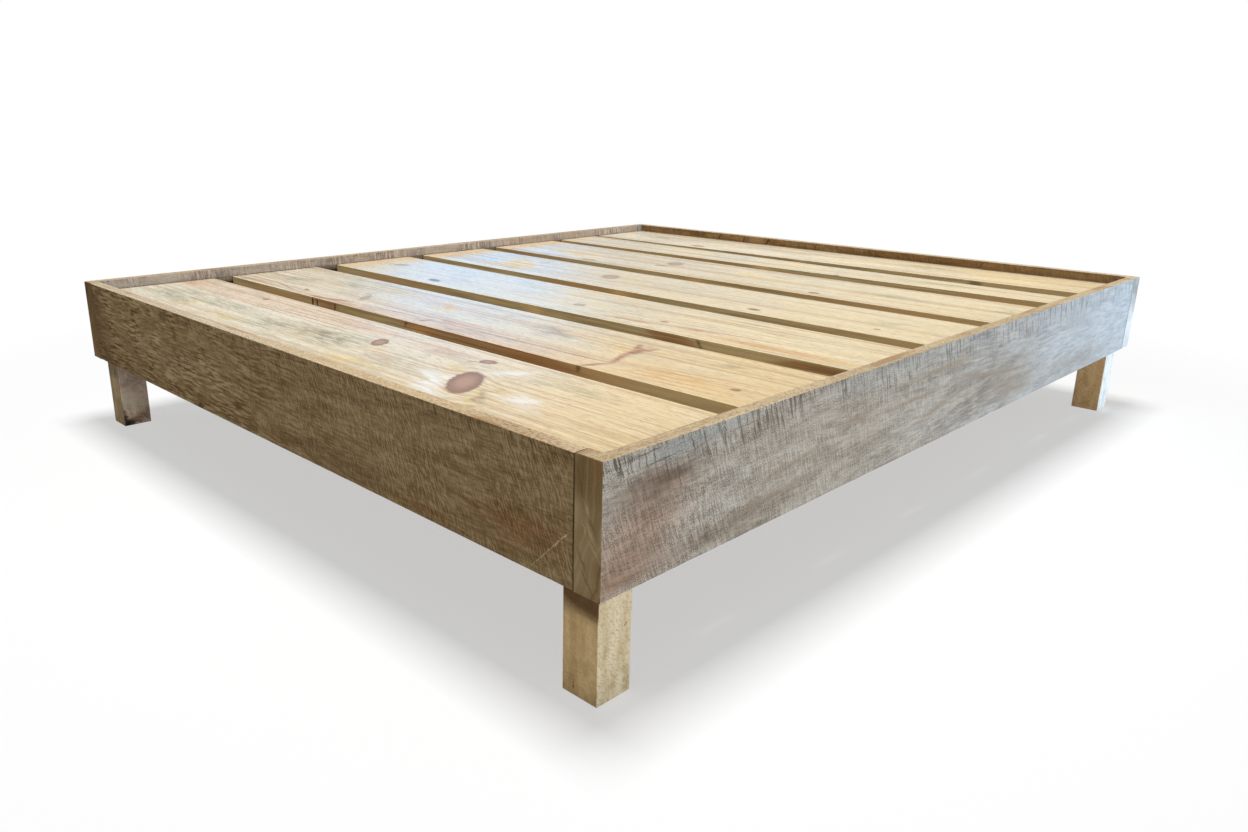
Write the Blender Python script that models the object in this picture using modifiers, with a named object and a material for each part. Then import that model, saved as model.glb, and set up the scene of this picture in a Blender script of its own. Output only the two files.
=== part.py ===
"""Mango wood bed frame: four thick rails, four notched corner legs and seven loose slats.

Metres, +Z up. The origin is on the floor under the middle of the frame.
The foot end is at -Y, the head end at +Y, and left and right are as seen from the foot.
"""

import math

import bmesh
import bpy
from mathutils import Matrix, Vector

# Overall size
LENGTH = 1.950
WIDTH = 1.650
GROUND_CLEARANCE = 0.160

# Rails
RAIL_THICKNESS = 0.044
SIDE_RAIL_HEIGHT = 0.178
END_RAIL_STEP = 0.0010
SIDE_LIP = 0.022
END_LIP = 0.024
RAIL_ARRIS = 0.0012

# Slats
SLAT_THICKNESS = 0.020
SLAT_RECESS = 0.022
SLAT_END_PLAY = 0.003
SLAT_ARRIS = 0.0010

# Near and far edge of each slat at its left and right end, from the foot lip to the head lip
SLAT_EDGE_SHARES = (
    ((0.0095, 0.1446), (0.0095, 0.1452)),
    ((0.1696, 0.2959), (0.1708, 0.2988)),
    ((0.3287, 0.4558), (0.3295, 0.4438)),
    ((0.4822, 0.6022), (0.4716, 0.5951)),
    ((0.6298, 0.7607), (0.6237, 0.7505)),
    ((0.7813, 0.8673), (0.7904, 0.8488)),
    ((0.8796, 0.9960), (0.8907, 0.9960)),
)

# Corner legs
LEG_SIDE = 0.062
LEG_INSET = 0.020
LEG_ARRIS = 0.0015

# Centre beam, its cleats and its leg
BEAM_WIDTH = 0.044
BEAM_HEIGHT = 0.070
BEAM_ARRIS = 0.0015
CLEAT_THICKNESS = 0.025
CLEAT_CHEEK = 0.035
CLEAT_FLOOR = 0.025
CENTRE_LEG_CHEEK = 0.018

# Coach screws
BOLT_DIAMETER = 0.008
BOLT_BITE = 0.030
BOLT_POINT = 0.006
FLANGE_DIAMETER = 0.018
FLANGE_THICKNESS = 0.0015
HEAD_ACROSS_FLATS = 0.013
HEAD_HEIGHT = 0.0055
BEAM_BOLT_BITE = 0.030

# Cleat screws
SCREW_DIAMETER = 0.005
SCREW_BITE = 0.028
SCREW_POINT = 0.004
SCREW_HEAD_DIAMETER = 0.0095
SCREW_HEAD_HEIGHT = 0.003

# Dowels
DOWEL_DIAMETER = 0.010
DOWEL_LENGTH = 0.060
DOWEL_DEPTH_IN_FACE = 0.025
DOWEL_CHAMFER = 0.001

# Heights of the corner fastenings, from the rail's underside to the slat ledge
SIDE_BOLT_SHARES = (0.12, 0.62)
END_BOLT_SHARES = (0.37, 0.87)
DOWEL_SHARES = (0.245, 0.745)
BEAM_BOLT_SHARES = (0.30, 0.70)
CLEAT_SCREW_SHARE = 0.5

# Clearances
SEAT_GAP = 0.0003
BORE_RELIEF = 0.002
CUT_OVERRUN = 0.004

# Facets of round pieces
ROUND_SEGMENTS = 16
HEX_SEGMENTS = 6

# Places worked out from the sizes above
HALF_LENGTH = LENGTH / 2
HALF_WIDTH = WIDTH / 2
RAIL_TOP = GROUND_CLEARANCE + SIDE_RAIL_HEIGHT
END_RAIL_UNDERSIDE = GROUND_CLEARANCE + END_RAIL_STEP
SLAT_TOP = RAIL_TOP - SLAT_RECESS
SLAT_UNDERSIDE = SLAT_TOP - SLAT_THICKNESS
LEDGE = SLAT_UNDERSIDE - SEAT_GAP
INNER_HALF_WIDTH = HALF_WIDTH - RAIL_THICKNESS
INNER_HALF_LENGTH = HALF_LENGTH - RAIL_THICKNESS
LEG_INNER_X = HALF_WIDTH - LEG_INSET - LEG_SIDE
LEG_INNER_Y = HALF_LENGTH - LEG_INSET - LEG_SIDE
CORE_X = (LEG_INNER_X + INNER_HALF_WIDTH) / 2
CORE_Y = (LEG_INNER_Y + INNER_HALF_LENGTH) / 2
CORE_DEPTH_X = INNER_HALF_WIDTH - LEG_INNER_X
CORE_DEPTH_Y = INNER_HALF_LENGTH - LEG_INNER_Y
BEAM_UNDERSIDE = LEDGE - BEAM_HEIGHT
BOLT_BORE_RADIUS = BOLT_DIAMETER / 2 + SEAT_GAP
SCREW_BORE_RADIUS = SCREW_DIAMETER / 2 + SEAT_GAP
DOWEL_BORE_RADIUS = DOWEL_DIAMETER / 2 + SEAT_GAP

# Wood and metal of the pieces: linear colour, roughness, metallic
FINISHES = {
    "mango_olive": ((0.145, 0.105, 0.055, 1.0), 0.75, 0.0),
    "mango_grey": ((0.250, 0.225, 0.205, 1.0), 0.80, 0.0),
    "mango_brown": ((0.140, 0.085, 0.042, 1.0), 0.75, 0.0),
    "mango_tan": ((0.420, 0.310, 0.190, 1.0), 0.65, 0.0),
    "pine_cream": ((0.740, 0.620, 0.420, 1.0), 0.35, 0.0),
    "pine_plain": ((0.560, 0.430, 0.260, 1.0), 0.60, 0.0),
    "beech": ((0.600, 0.430, 0.270, 1.0), 0.60, 0.0),
    "zinc_steel": ((0.560, 0.570, 0.580, 1.0), 0.35, 1.0),
}


def clear_scene():
    """Remove every object that the file starts with."""
    for item in list(bpy.data.objects):
        bpy.data.objects.remove(item, do_unlink=True)


def new_collection(name):
    """Make a collection in the scene."""
    group = bpy.data.collections.new(name)
    bpy.context.scene.collection.children.link(group)
    return group


def make_material(name, finish):
    """Make a Principled material for one piece from a named finish."""
    colour, roughness, metallic = FINISHES[finish]
    material = bpy.data.materials.new(name)
    material.use_nodes = True
    shader = material.node_tree.nodes["Principled BSDF"]
    shader.inputs["Base Color"].default_value = colour
    shader.inputs["Roughness"].default_value = roughness
    shader.inputs["Metallic"].default_value = metallic
    material.diffuse_color = colour
    return material


def add_object(name, mesh, location, group, parent=None):
    """Place a mesh as a named object in a collection."""
    piece = bpy.data.objects.new(name, mesh)
    piece.location = location
    piece.parent = parent
    group.objects.link(piece)
    return piece


def hide_cutter(cutter):
    """Mark a cutter so that it is drawn as wire and never rendered."""
    cutter.hide_render = True
    cutter.display_type = "WIRE"


def box_mesh(name, size):
    """A box of the given size, centred on its origin."""
    mesh = bpy.data.meshes.new(name)
    shape = bmesh.new()
    bmesh.ops.create_cube(shape, size=1.0, matrix=Matrix.Diagonal((*size, 1.0)))
    shape.to_mesh(mesh)
    shape.free()
    return mesh


def rod_mesh(name, radius, length, segments=ROUND_SEGMENTS):
    """A rod along Z with its first end on the origin."""
    mesh = bpy.data.meshes.new(name)
    shape = bmesh.new()
    bmesh.ops.create_cone(
        shape,
        cap_ends=True,
        segments=segments,
        radius1=radius,
        radius2=radius,
        depth=length,
        matrix=Matrix.Translation((0, 0, length / 2)),
    )
    shape.to_mesh(mesh)
    shape.free()
    return mesh


def span(low, high):
    """Size and centre of a box between two corners."""
    low = Vector(low)
    high = Vector(high)
    return high - low, (low + high) / 2


def add_bevel(piece, width, segments=2):
    """Ease the sharp edges of a piece."""
    bevel = piece.modifiers.new("arris", "BEVEL")
    bevel.width = width
    bevel.segments = segments
    bevel.limit_method = "ANGLE"


def cut(piece, cutter):
    """Cut a piece with a cutter."""
    boolean = piece.modifiers.new(cutter.name, "BOOLEAN")
    boolean.operation = "DIFFERENCE"
    boolean.solver = "EXACT"
    boolean.object = cutter


def add_board(name, low, high, arris, finish):
    """A squared board between two corners, with eased edges."""
    size, centre = span(low, high)
    piece = add_object(name, box_mesh(name, size), centre, PARTS, ROOT)
    piece.data.materials.append(make_material(name, finish))
    add_bevel(piece, arris)
    return piece


def cut_box(piece, name, low, high):
    """Cut a square recess between two corners out of a piece."""
    size, centre = span(low, high)
    cutter = add_object(name, box_mesh(name, size), centre, CUTTERS, ROOT)
    hide_cutter(cutter)
    cut(piece, cutter)


def aim(direction):
    """Rotation that turns +Z to a direction."""
    return Vector(direction).to_track_quat("Z", "Y").to_euler()


def bore(pieces, name, start, direction, length, radius):
    """Drill one round hole through every piece that it meets."""
    cutter = add_object(name, rod_mesh(name, radius, length), start, CUTTERS, ROOT)
    cutter.rotation_euler = aim(direction)
    hide_cutter(cutter)
    for piece in pieces:
        cut(piece, cutter)


def turned_mesh(name, profile):
    """A turned piece: a profile of radius and height, from the top down, spun about Z."""
    line = bpy.data.meshes.new(name + "_profile")
    points = [(radius, 0, height) for radius, height in profile]
    edges = [(index, index + 1) for index in range(len(points) - 1)]
    line.from_pydata(points, edges, [])
    blank = add_object(name + "_blank", line, (0, 0, 0), CUTTERS)
    screw = blank.modifiers.new("turn", "SCREW")
    screw.axis = "Z"
    screw.angle = math.tau
    screw.steps = ROUND_SEGMENTS
    screw.render_steps = ROUND_SEGMENTS
    screw.use_merge_vertices = True
    screw.merge_threshold = SEAT_GAP / 10
    return blank


def settle(blank, name):
    """Turn a blank with modifiers into a plain mesh, and remove the blank."""
    graph = bpy.context.evaluated_depsgraph_get()
    mesh = bpy.data.meshes.new_from_object(blank.evaluated_get(graph))
    mesh.name = name
    bpy.data.objects.remove(blank, do_unlink=True)
    return mesh


def coach_screw_mesh(name, length):
    """A hexagon coach screw: the flange's seat is at the origin and the point at +Z."""
    shank = BOLT_DIAMETER / 2
    flange = FLANGE_DIAMETER / 2
    blank = turned_mesh(name, (
        (0, length),
        (shank / 4, length - BOLT_POINT / 4),
        (shank, length - BOLT_POINT),
        (shank, 0),
        (flange, 0),
        (flange, -FLANGE_THICKNESS),
        (0, -FLANGE_THICKNESS),
    ))
    corner_radius = HEAD_ACROSS_FLATS / 2 / math.cos(math.pi / HEX_SEGMENTS)
    hexagon = rod_mesh(name + "_hexagon", corner_radius, HEAD_HEIGHT + FLANGE_THICKNESS / 2, HEX_SEGMENTS)
    head = add_object(name + "_hexagon", hexagon, (0, 0, -FLANGE_THICKNESS - HEAD_HEIGHT), CUTTERS)
    union = blank.modifiers.new("head", "BOOLEAN")
    union.operation = "UNION"
    union.solver = "EXACT"
    union.object = head
    mesh = settle(blank, name)
    bpy.data.objects.remove(head, do_unlink=True)
    return mesh


def wood_screw_mesh(name, length):
    """A pan head wood screw: the head's seat is at the origin and the point at +Z."""
    shank = SCREW_DIAMETER / 2
    head = SCREW_HEAD_DIAMETER / 2
    blank = turned_mesh(name, (
        (0, length),
        (shank, length - SCREW_POINT),
        (shank, 0),
        (head, 0),
        (head, -SCREW_HEAD_HEIGHT / 2),
        (head * 3 / 4, -SCREW_HEAD_HEIGHT),
        (0, -SCREW_HEAD_HEIGHT),
    ))
    return settle(blank, name)


def add_fastener(name, mesh, material, seat, direction):
    """Place a screw with its seat on a face and its point along a direction."""
    lifted = Vector(seat) - Vector(direction) * SEAT_GAP
    piece = add_object(name, mesh, lifted, PARTS, ROOT)
    piece.rotation_euler = aim(direction)
    if not mesh.materials:
        mesh.materials.append(material)
    return piece


def add_coach_screw(name, mesh, seat, direction, pieces, reach):
    """A coach screw and the hole that it sits in, through every piece that it holds."""
    direction = Vector(direction)
    start = Vector(seat) - direction * CUT_OVERRUN
    bore(pieces, name + "_bore", start, direction, CUT_OVERRUN + reach + BORE_RELIEF, BOLT_BORE_RADIUS)
    return add_fastener(name, mesh, STEEL, seat, direction)


def level(share):
    """Height of a corner fastening between the rails' underside and the slat ledge."""
    return GROUND_CLEARANCE + share * (LEDGE - GROUND_CLEARANCE)


def along_well(share):
    """Place along the frame between the foot lip and the head lip."""
    start = -HALF_LENGTH + END_LIP
    return start + share * (LENGTH - END_LIP - END_LIP)


def build_side_rail(name, side, finish):
    """A side rail: it runs through at the foot and butts on the head rail."""
    outer = side * HALF_WIDTH
    inner = side * INNER_HALF_WIDTH
    foot = -HALF_LENGTH
    head = INNER_HALF_LENGTH - SEAT_GAP
    low = (min(outer, inner), foot, GROUND_CLEARANCE)
    high = (max(outer, inner), head, RAIL_TOP)
    rail = add_board(name, low, high, RAIL_ARRIS, finish)
    lip = side * (HALF_WIDTH - SIDE_LIP)
    past = side * (INNER_HALF_WIDTH - CUT_OVERRUN)
    cut_box(
        rail,
        name + "_rebate",
        (min(lip, past), foot + END_LIP, LEDGE),
        (max(lip, past), head + CUT_OVERRUN, RAIL_TOP + CUT_OVERRUN),
    )
    return rail


def build_foot_rail():
    """The foot rail, fitted between the side rails, with its rebate along its whole length."""
    half = INNER_HALF_WIDTH - SEAT_GAP
    low = (-half, -HALF_LENGTH, END_RAIL_UNDERSIDE)
    high = (half, -INNER_HALF_LENGTH, RAIL_TOP)
    rail = add_board("foot_rail", low, high, RAIL_ARRIS, "mango_olive")
    cut_box(
        rail,
        "foot_rail_rebate",
        (-half - CUT_OVERRUN, -HALF_LENGTH + END_LIP, LEDGE),
        (half + CUT_OVERRUN, -INNER_HALF_LENGTH + CUT_OVERRUN, RAIL_TOP + CUT_OVERRUN),
    )
    return rail


def build_head_rail():
    """The head rail, which runs through from side to side with a stopped rebate."""
    low = (-HALF_WIDTH, INNER_HALF_LENGTH, END_RAIL_UNDERSIDE)
    high = (HALF_WIDTH, HALF_LENGTH, RAIL_TOP)
    rail = add_board("head_rail", low, high, RAIL_ARRIS, "mango_brown")
    stop = HALF_WIDTH - SIDE_LIP
    cut_box(
        rail,
        "head_rail_rebate",
        (-stop, INNER_HALF_LENGTH - CUT_OVERRUN, LEDGE),
        (stop, HALF_LENGTH - END_LIP, RAIL_TOP + CUT_OVERRUN),
    )
    return rail


def build_corner_leg(name, side, end, finish):
    """A corner leg: a square post whose head is notched to carry both rails on shoulders."""
    outer_x = side * (HALF_WIDTH - LEG_INSET)
    outer_y = end * (HALF_LENGTH - LEG_INSET)
    inner_x = side * LEG_INNER_X
    inner_y = end * LEG_INNER_Y
    top = LEDGE
    low = (min(outer_x, inner_x), min(outer_y, inner_y), 0)
    high = (max(outer_x, inner_x), max(outer_y, inner_y), top)
    leg = add_board(name, low, high, LEG_ARRIS, finish)
    over = CUT_OVERRUN
    face_x = side * (INNER_HALF_WIDTH - SEAT_GAP)
    past_x = outer_x + side * over
    face_y = end * (INNER_HALF_LENGTH - SEAT_GAP)
    past_y = outer_y + end * over
    cut_box(
        leg,
        name + "_side_notch",
        (min(face_x, past_x), low[1] - over, GROUND_CLEARANCE - SEAT_GAP),
        (max(face_x, past_x), high[1] + over, top + over),
    )
    cut_box(
        leg,
        name + "_end_notch",
        (low[0] - over, min(face_y, past_y), END_RAIL_UNDERSIDE - SEAT_GAP),
        (high[0] + over, max(face_y, past_y), top + over),
    )
    return leg


def build_corner_screws(name, side, end, leg, side_rail, end_rail):
    """Four coach screws that clamp the two rails of a corner to the core of its leg."""
    reach_x = CORE_DEPTH_X + BOLT_BITE
    reach_y = CORE_DEPTH_Y + BOLT_BITE
    for number, share in enumerate(SIDE_BOLT_SHARES, start=1):
        seat = (side * LEG_INNER_X, end * CORE_Y, level(share))
        add_coach_screw(
            f"{name}_side_screw_{number}", SIDE_SCREW, seat, (side, 0, 0), (leg, side_rail), reach_x
        )
    for number, share in enumerate(END_BOLT_SHARES, start=1):
        seat = (side * CORE_X, end * LEG_INNER_Y, level(share))
        add_coach_screw(
            f"{name}_end_screw_{number}", END_SCREW, seat, (0, end, 0), (leg, end_rail), reach_y
        )


def build_dowels(name, joint, direction, face_rail, end_grain_rail):
    """Two dowels across the butt joint of two rails."""
    direction = Vector(direction)
    for number, share in enumerate(DOWEL_SHARES, start=1):
        start = Vector((joint[0], joint[1], level(share))) - direction * DOWEL_DEPTH_IN_FACE
        label = f"{name}_dowel_{number}"
        bore(
            (face_rail, end_grain_rail),
            label + "_bore",
            start - direction * SEAT_GAP,
            direction,
            DOWEL_LENGTH + SEAT_GAP + BORE_RELIEF,
            DOWEL_BORE_RADIUS,
        )
        dowel = add_object(label, DOWEL, start, PARTS, ROOT)
        dowel.rotation_euler = aim(direction)


def dowel_mesh():
    """A dowel along Z with chamfered ends."""
    blank = add_object("dowel_blank", rod_mesh("dowel_rod", DOWEL_DIAMETER / 2, DOWEL_LENGTH), (0, 0, 0), CUTTERS)
    add_bevel(blank, DOWEL_CHAMFER, segments=1)
    mesh = settle(blank, "dowel")
    mesh.materials.append(make_material("dowel", "beech"))
    return mesh


def build_slat(number, shares):
    """A slat that lies in the rebates, sawn and laid a little out of square."""
    name = f"slat_{number}"
    half = HALF_WIDTH - SIDE_LIP - SLAT_END_PLAY
    (left_near, left_far), (right_near, right_far) = shares
    edges = {
        (-1, -1): along_well(left_near),
        (-1, 1): along_well(left_far),
        (1, -1): along_well(right_near),
        (1, 1): along_well(right_far),
    }
    middle = sum(edges.values()) / len(edges)
    mesh = box_mesh(name, (2 * half, 2, SLAT_THICKNESS))
    for corner in mesh.vertices:
        key = (1 if corner.co.x > 0 else -1, 1 if corner.co.y > 0 else -1)
        corner.co.y = edges[key] - middle
    height = SLAT_UNDERSIDE + SLAT_THICKNESS / 2
    slat = add_object(name, mesh, (0, middle, height), PARTS, ROOT)
    mesh.materials.append(make_material(name, "pine_cream"))
    add_bevel(slat, SLAT_ARRIS)
    return slat


def build_centre_beam():
    """The beam that carries the middle of every slat."""
    half = BEAM_WIDTH / 2
    reach = INNER_HALF_LENGTH - SEAT_GAP
    low = (-half, -reach, BEAM_UNDERSIDE)
    high = (half, reach, LEDGE)
    return add_board("centre_beam", low, high, BEAM_ARRIS, "pine_plain")


def build_beam_cleat(name, end, rail):
    """A cleat on an end rail, notched so that the end of the beam drops into it."""
    half = BEAM_WIDTH / 2 + CLEAT_CHEEK
    back = end * (INNER_HALF_LENGTH - SEAT_GAP)
    front = end * (INNER_HALF_LENGTH - SEAT_GAP - CLEAT_THICKNESS)
    low = (-half, min(back, front), BEAM_UNDERSIDE - CLEAT_FLOOR)
    high = (half, max(back, front), LEDGE)
    cleat = add_board(name, low, high, BEAM_ARRIS, "pine_plain")
    slot = BEAM_WIDTH / 2 + SEAT_GAP
    cut_box(
        cleat,
        name + "_slot",
        (-slot, low[1] - CUT_OVERRUN, BEAM_UNDERSIDE - SEAT_GAP),
        (slot, high[1] + CUT_OVERRUN, LEDGE + CUT_OVERRUN),
    )
    reach = CLEAT_THICKNESS + SCREW_BITE
    height = low[2] + CLEAT_SCREW_SHARE * (high[2] - low[2])
    for number, side in enumerate((-1, 1), start=1):
        label = f"{name}_screw_{number}"
        place = side * (slot + half) / 2
        direction = Vector((0, end, 0))
        seat = Vector((place, front, height))
        start = seat - direction * CUT_OVERRUN
        bore(
            (cleat, rail),
            label + "_bore",
            start,
            direction,
            CUT_OVERRUN + reach + BORE_RELIEF,
            SCREW_BORE_RADIUS,
        )
        add_fastener(label, CLEAT_SCREW, STEEL, seat, direction)
    return cleat


def build_centre_leg(beam):
    """The centre leg: a shoulder under the beam and a cheek screwed to its side."""
    near = -BEAM_WIDTH / 2
    far = BEAM_WIDTH / 2 + SEAT_GAP + CENTRE_LEG_CHEEK
    half = LEG_SIDE / 2
    leg = add_board("centre_leg", (near, -half, 0), (far, half, LEDGE), LEG_ARRIS, "pine_plain")
    cut_box(
        leg,
        "centre_leg_notch",
        (near - CUT_OVERRUN, -half - CUT_OVERRUN, BEAM_UNDERSIDE - SEAT_GAP),
        (BEAM_WIDTH / 2 + SEAT_GAP, half + CUT_OVERRUN, LEDGE + CUT_OVERRUN),
    )
    reach = SEAT_GAP + CENTRE_LEG_CHEEK + BEAM_BOLT_BITE
    for number, share in enumerate(BEAM_BOLT_SHARES, start=1):
        seat = (far, LEG_SIDE * (share - 0.5), BEAM_UNDERSIDE + share * BEAM_HEIGHT)
        add_coach_screw(
            f"centre_leg_screw_{number}", BEAM_SCREW, seat, (-1, 0, 0), (leg, beam), reach
        )
    return leg


clear_scene()
PARTS = new_collection("mango_wood_bed_frame")
CUTTERS = new_collection("cutters")
ROOT = bpy.data.objects.new("bed_frame", None)
PARTS.objects.link(ROOT)

STEEL = make_material("zinc_steel", "zinc_steel")
SIDE_SCREW = coach_screw_mesh("side_screw", CORE_DEPTH_X + BOLT_BITE)
END_SCREW = coach_screw_mesh("end_screw", CORE_DEPTH_Y + BOLT_BITE)
BEAM_SCREW = coach_screw_mesh("beam_screw", SEAT_GAP + CENTRE_LEG_CHEEK + BEAM_BOLT_BITE)
CLEAT_SCREW = wood_screw_mesh("cleat_screw", CLEAT_THICKNESS + SCREW_BITE)
DOWEL = dowel_mesh()

foot_rail = build_foot_rail()
head_rail = build_head_rail()
side_rails = {
    -1: build_side_rail("left_side_rail", -1, "mango_grey"),
    1: build_side_rail("right_side_rail", 1, "mango_grey"),
}
end_rails = {-1: ("foot", foot_rail), 1: ("head", head_rail)}
LEG_FINISHES = {
    (-1, -1): "mango_olive",
    (1, -1): "mango_tan",
    (-1, 1): "mango_brown",
    (1, 1): "mango_brown",
}

for end, (end_name, end_rail) in end_rails.items():
    for side, side_name in ((-1, "left"), (1, "right")):
        corner = f"{end_name}_{side_name}"
        side_rail = side_rails[side]
        leg = build_corner_leg(corner + "_leg", side, end, LEG_FINISHES[side, end])
        build_corner_screws(corner, side, end, leg, side_rail, end_rail)
        if end < 0:
            joint = (side * INNER_HALF_WIDTH, -HALF_LENGTH + RAIL_THICKNESS / 2)
            build_dowels(corner, joint, (-side, 0, 0), side_rail, end_rail)
        else:
            joint = (side * (HALF_WIDTH - RAIL_THICKNESS / 2), INNER_HALF_LENGTH)
            build_dowels(corner, joint, (0, -1, 0), end_rail, side_rail)

for number, shares in enumerate(SLAT_EDGE_SHARES, start=1):
    build_slat(number, shares)

centre_beam = build_centre_beam()
build_beam_cleat("foot_beam_cleat", -1, foot_rail)
build_beam_cleat("head_beam_cleat", 1, head_rail)
build_centre_leg(centre_beam)
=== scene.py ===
"""Looks of a slatted bed frame in sawn mango wood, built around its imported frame.

Rails, legs and slats are lofted boards with worn arrises. Every board is dressed with its own figure,
knots and stains, all worked out from nodes in the row frame's metres.
"""

import logging
import math
from collections.abc import Callable, Iterable, Sequence
from dataclasses import dataclass
from enum import Enum
from typing import Any, ClassVar

import bmesh
import bpy
from mathutils import Matrix, Vector, noise


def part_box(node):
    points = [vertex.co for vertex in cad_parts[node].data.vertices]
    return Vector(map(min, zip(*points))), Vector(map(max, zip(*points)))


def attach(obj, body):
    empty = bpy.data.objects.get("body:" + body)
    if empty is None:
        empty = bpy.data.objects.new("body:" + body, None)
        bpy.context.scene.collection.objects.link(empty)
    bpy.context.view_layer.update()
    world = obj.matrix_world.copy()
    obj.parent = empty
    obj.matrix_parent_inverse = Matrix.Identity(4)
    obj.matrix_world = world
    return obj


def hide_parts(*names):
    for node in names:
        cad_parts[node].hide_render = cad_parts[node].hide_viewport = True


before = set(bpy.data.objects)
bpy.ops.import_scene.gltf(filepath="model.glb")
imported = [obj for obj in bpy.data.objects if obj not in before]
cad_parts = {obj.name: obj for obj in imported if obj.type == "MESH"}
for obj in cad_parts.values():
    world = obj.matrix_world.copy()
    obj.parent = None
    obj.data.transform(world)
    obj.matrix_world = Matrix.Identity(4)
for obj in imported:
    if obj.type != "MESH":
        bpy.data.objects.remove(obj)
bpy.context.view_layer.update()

LOG = logging.getLogger("bed_frame")
BODY = "root"
# The gap left between pieces that touch, and how far the ledges' painted shade reaches above and below them.
SEAT_GAP = 0.0003
LEDGE_SHADE_REACH = 0.004
LEDGE_WALL = 0.015
# How far a face's normal has to lean before it counts as a board's end, its top or a slat's edge.
END_TILT = 0.7
TOP_TILT = 0.35
EDGE_TILT = 0.8

# A colour is in eight-bit screen values, and a light in Blender's linear ones with its alpha.
Colour = tuple[int, int, int]
Light = tuple[float, float, float, float]
Point = tuple[float, float]
Triple = tuple[float, float, float]
Chooser = Callable[[Vector, Vector], int]

WHITE: Light = (1.0, 1.0, 1.0, 1.0)
GREY: Light = (0.55, 0.55, 0.55, 1.0)


def linear(colour: Colour) -> Light:
    """Turn a colour in eight-bit screen values into Blender's linear light.

    Args:
        colour: its red, green and blue, from 0 to 255.

    Returns:
        The linear colour with full alpha.
    """
    light = []
    for value in colour:
        share = value / 255
        light.append(share / 12.92 if share <= 0.04045 else ((share + 0.055) / 1.055) ** 2.4)
    return (*light, 1.0)


def add_to_scene(name: str, data: bpy.types.ID) -> bpy.types.Object:
    """Make an object of a mesh, lamp or camera and link it to the scene.

    Args:
        name: the object's name.
        data: the mesh, lamp or camera.

    Returns:
        The object.
    """
    made = bpy.data.objects.new(name, data)
    bpy.context.scene.collection.objects.link(made)
    return made


def hide_from(piece: bpy.types.Object, *rays: str) -> None:
    """Hide a stage piece from the named kinds of rays."""
    for ray in rays:
        setattr(piece, "visible_" + ray, False)


class Grain(Enum):
    """The way that a board's grain runs: which of x, y and z is along, across and through it."""

    ALONG_X = (0, 1, 2)
    ALONG_Y = (1, 0, 2)
    ALONG_Z = (2, 0, 1)

    def point(self, along: float, across: float, through: float) -> Vector:
        """Turn grain coordinates into a point of the row frame.

        Args:
            along: how far along the grain.
            across: how far across it.
            through: how far through the board.

        Returns:
            The point.
        """
        place = Vector((0.0, 0.0, 0.0))
        for axis, value in zip(self.value, (along, across, through)):
            place[axis] = value
        return place


class Signal:
    """A number or colour that varies over a surface. Arithmetic on it lays out Math nodes."""

    def __init__(self, bench: "NodeBench", socket: bpy.types.NodeSocket) -> None:
        """Wrap a socket of a bench's node tree."""
        self.bench = bench
        self.socket = socket

    def __add__(self, other: "Signal | float") -> "Signal":
        """Add a signal or number."""
        return self.bench.math("ADD", self, other)

    def __sub__(self, other: "Signal | float") -> "Signal":
        """Take away a signal or number."""
        return self.bench.math("SUBTRACT", self, other)

    def __mul__(self, other: "Signal | float") -> "Signal":
        """Multiply by a signal or number."""
        return self.bench.math("MULTIPLY", self, other)

    def rise(self, low: float, high: float) -> "Signal":
        """Go smoothly from 0 at low to 1 at high, and the other way round where low is the larger.

        Args:
            low: where the result is 0.
            high: where it is 1.

        Returns:
            The smooth step.
        """
        node = self.bench.node(
            "MapRange",
            {"Value": self, "From Min": low, "From Max": high},
            interpolation_type="SMOOTHSTEP",
        )
        return Signal(self.bench, node.outputs["Result"])

    def around(self) -> "Signal":
        """The signal less a half, so that it swings both ways."""
        return self - 0.5


Input = Signal | float | tuple


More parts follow.
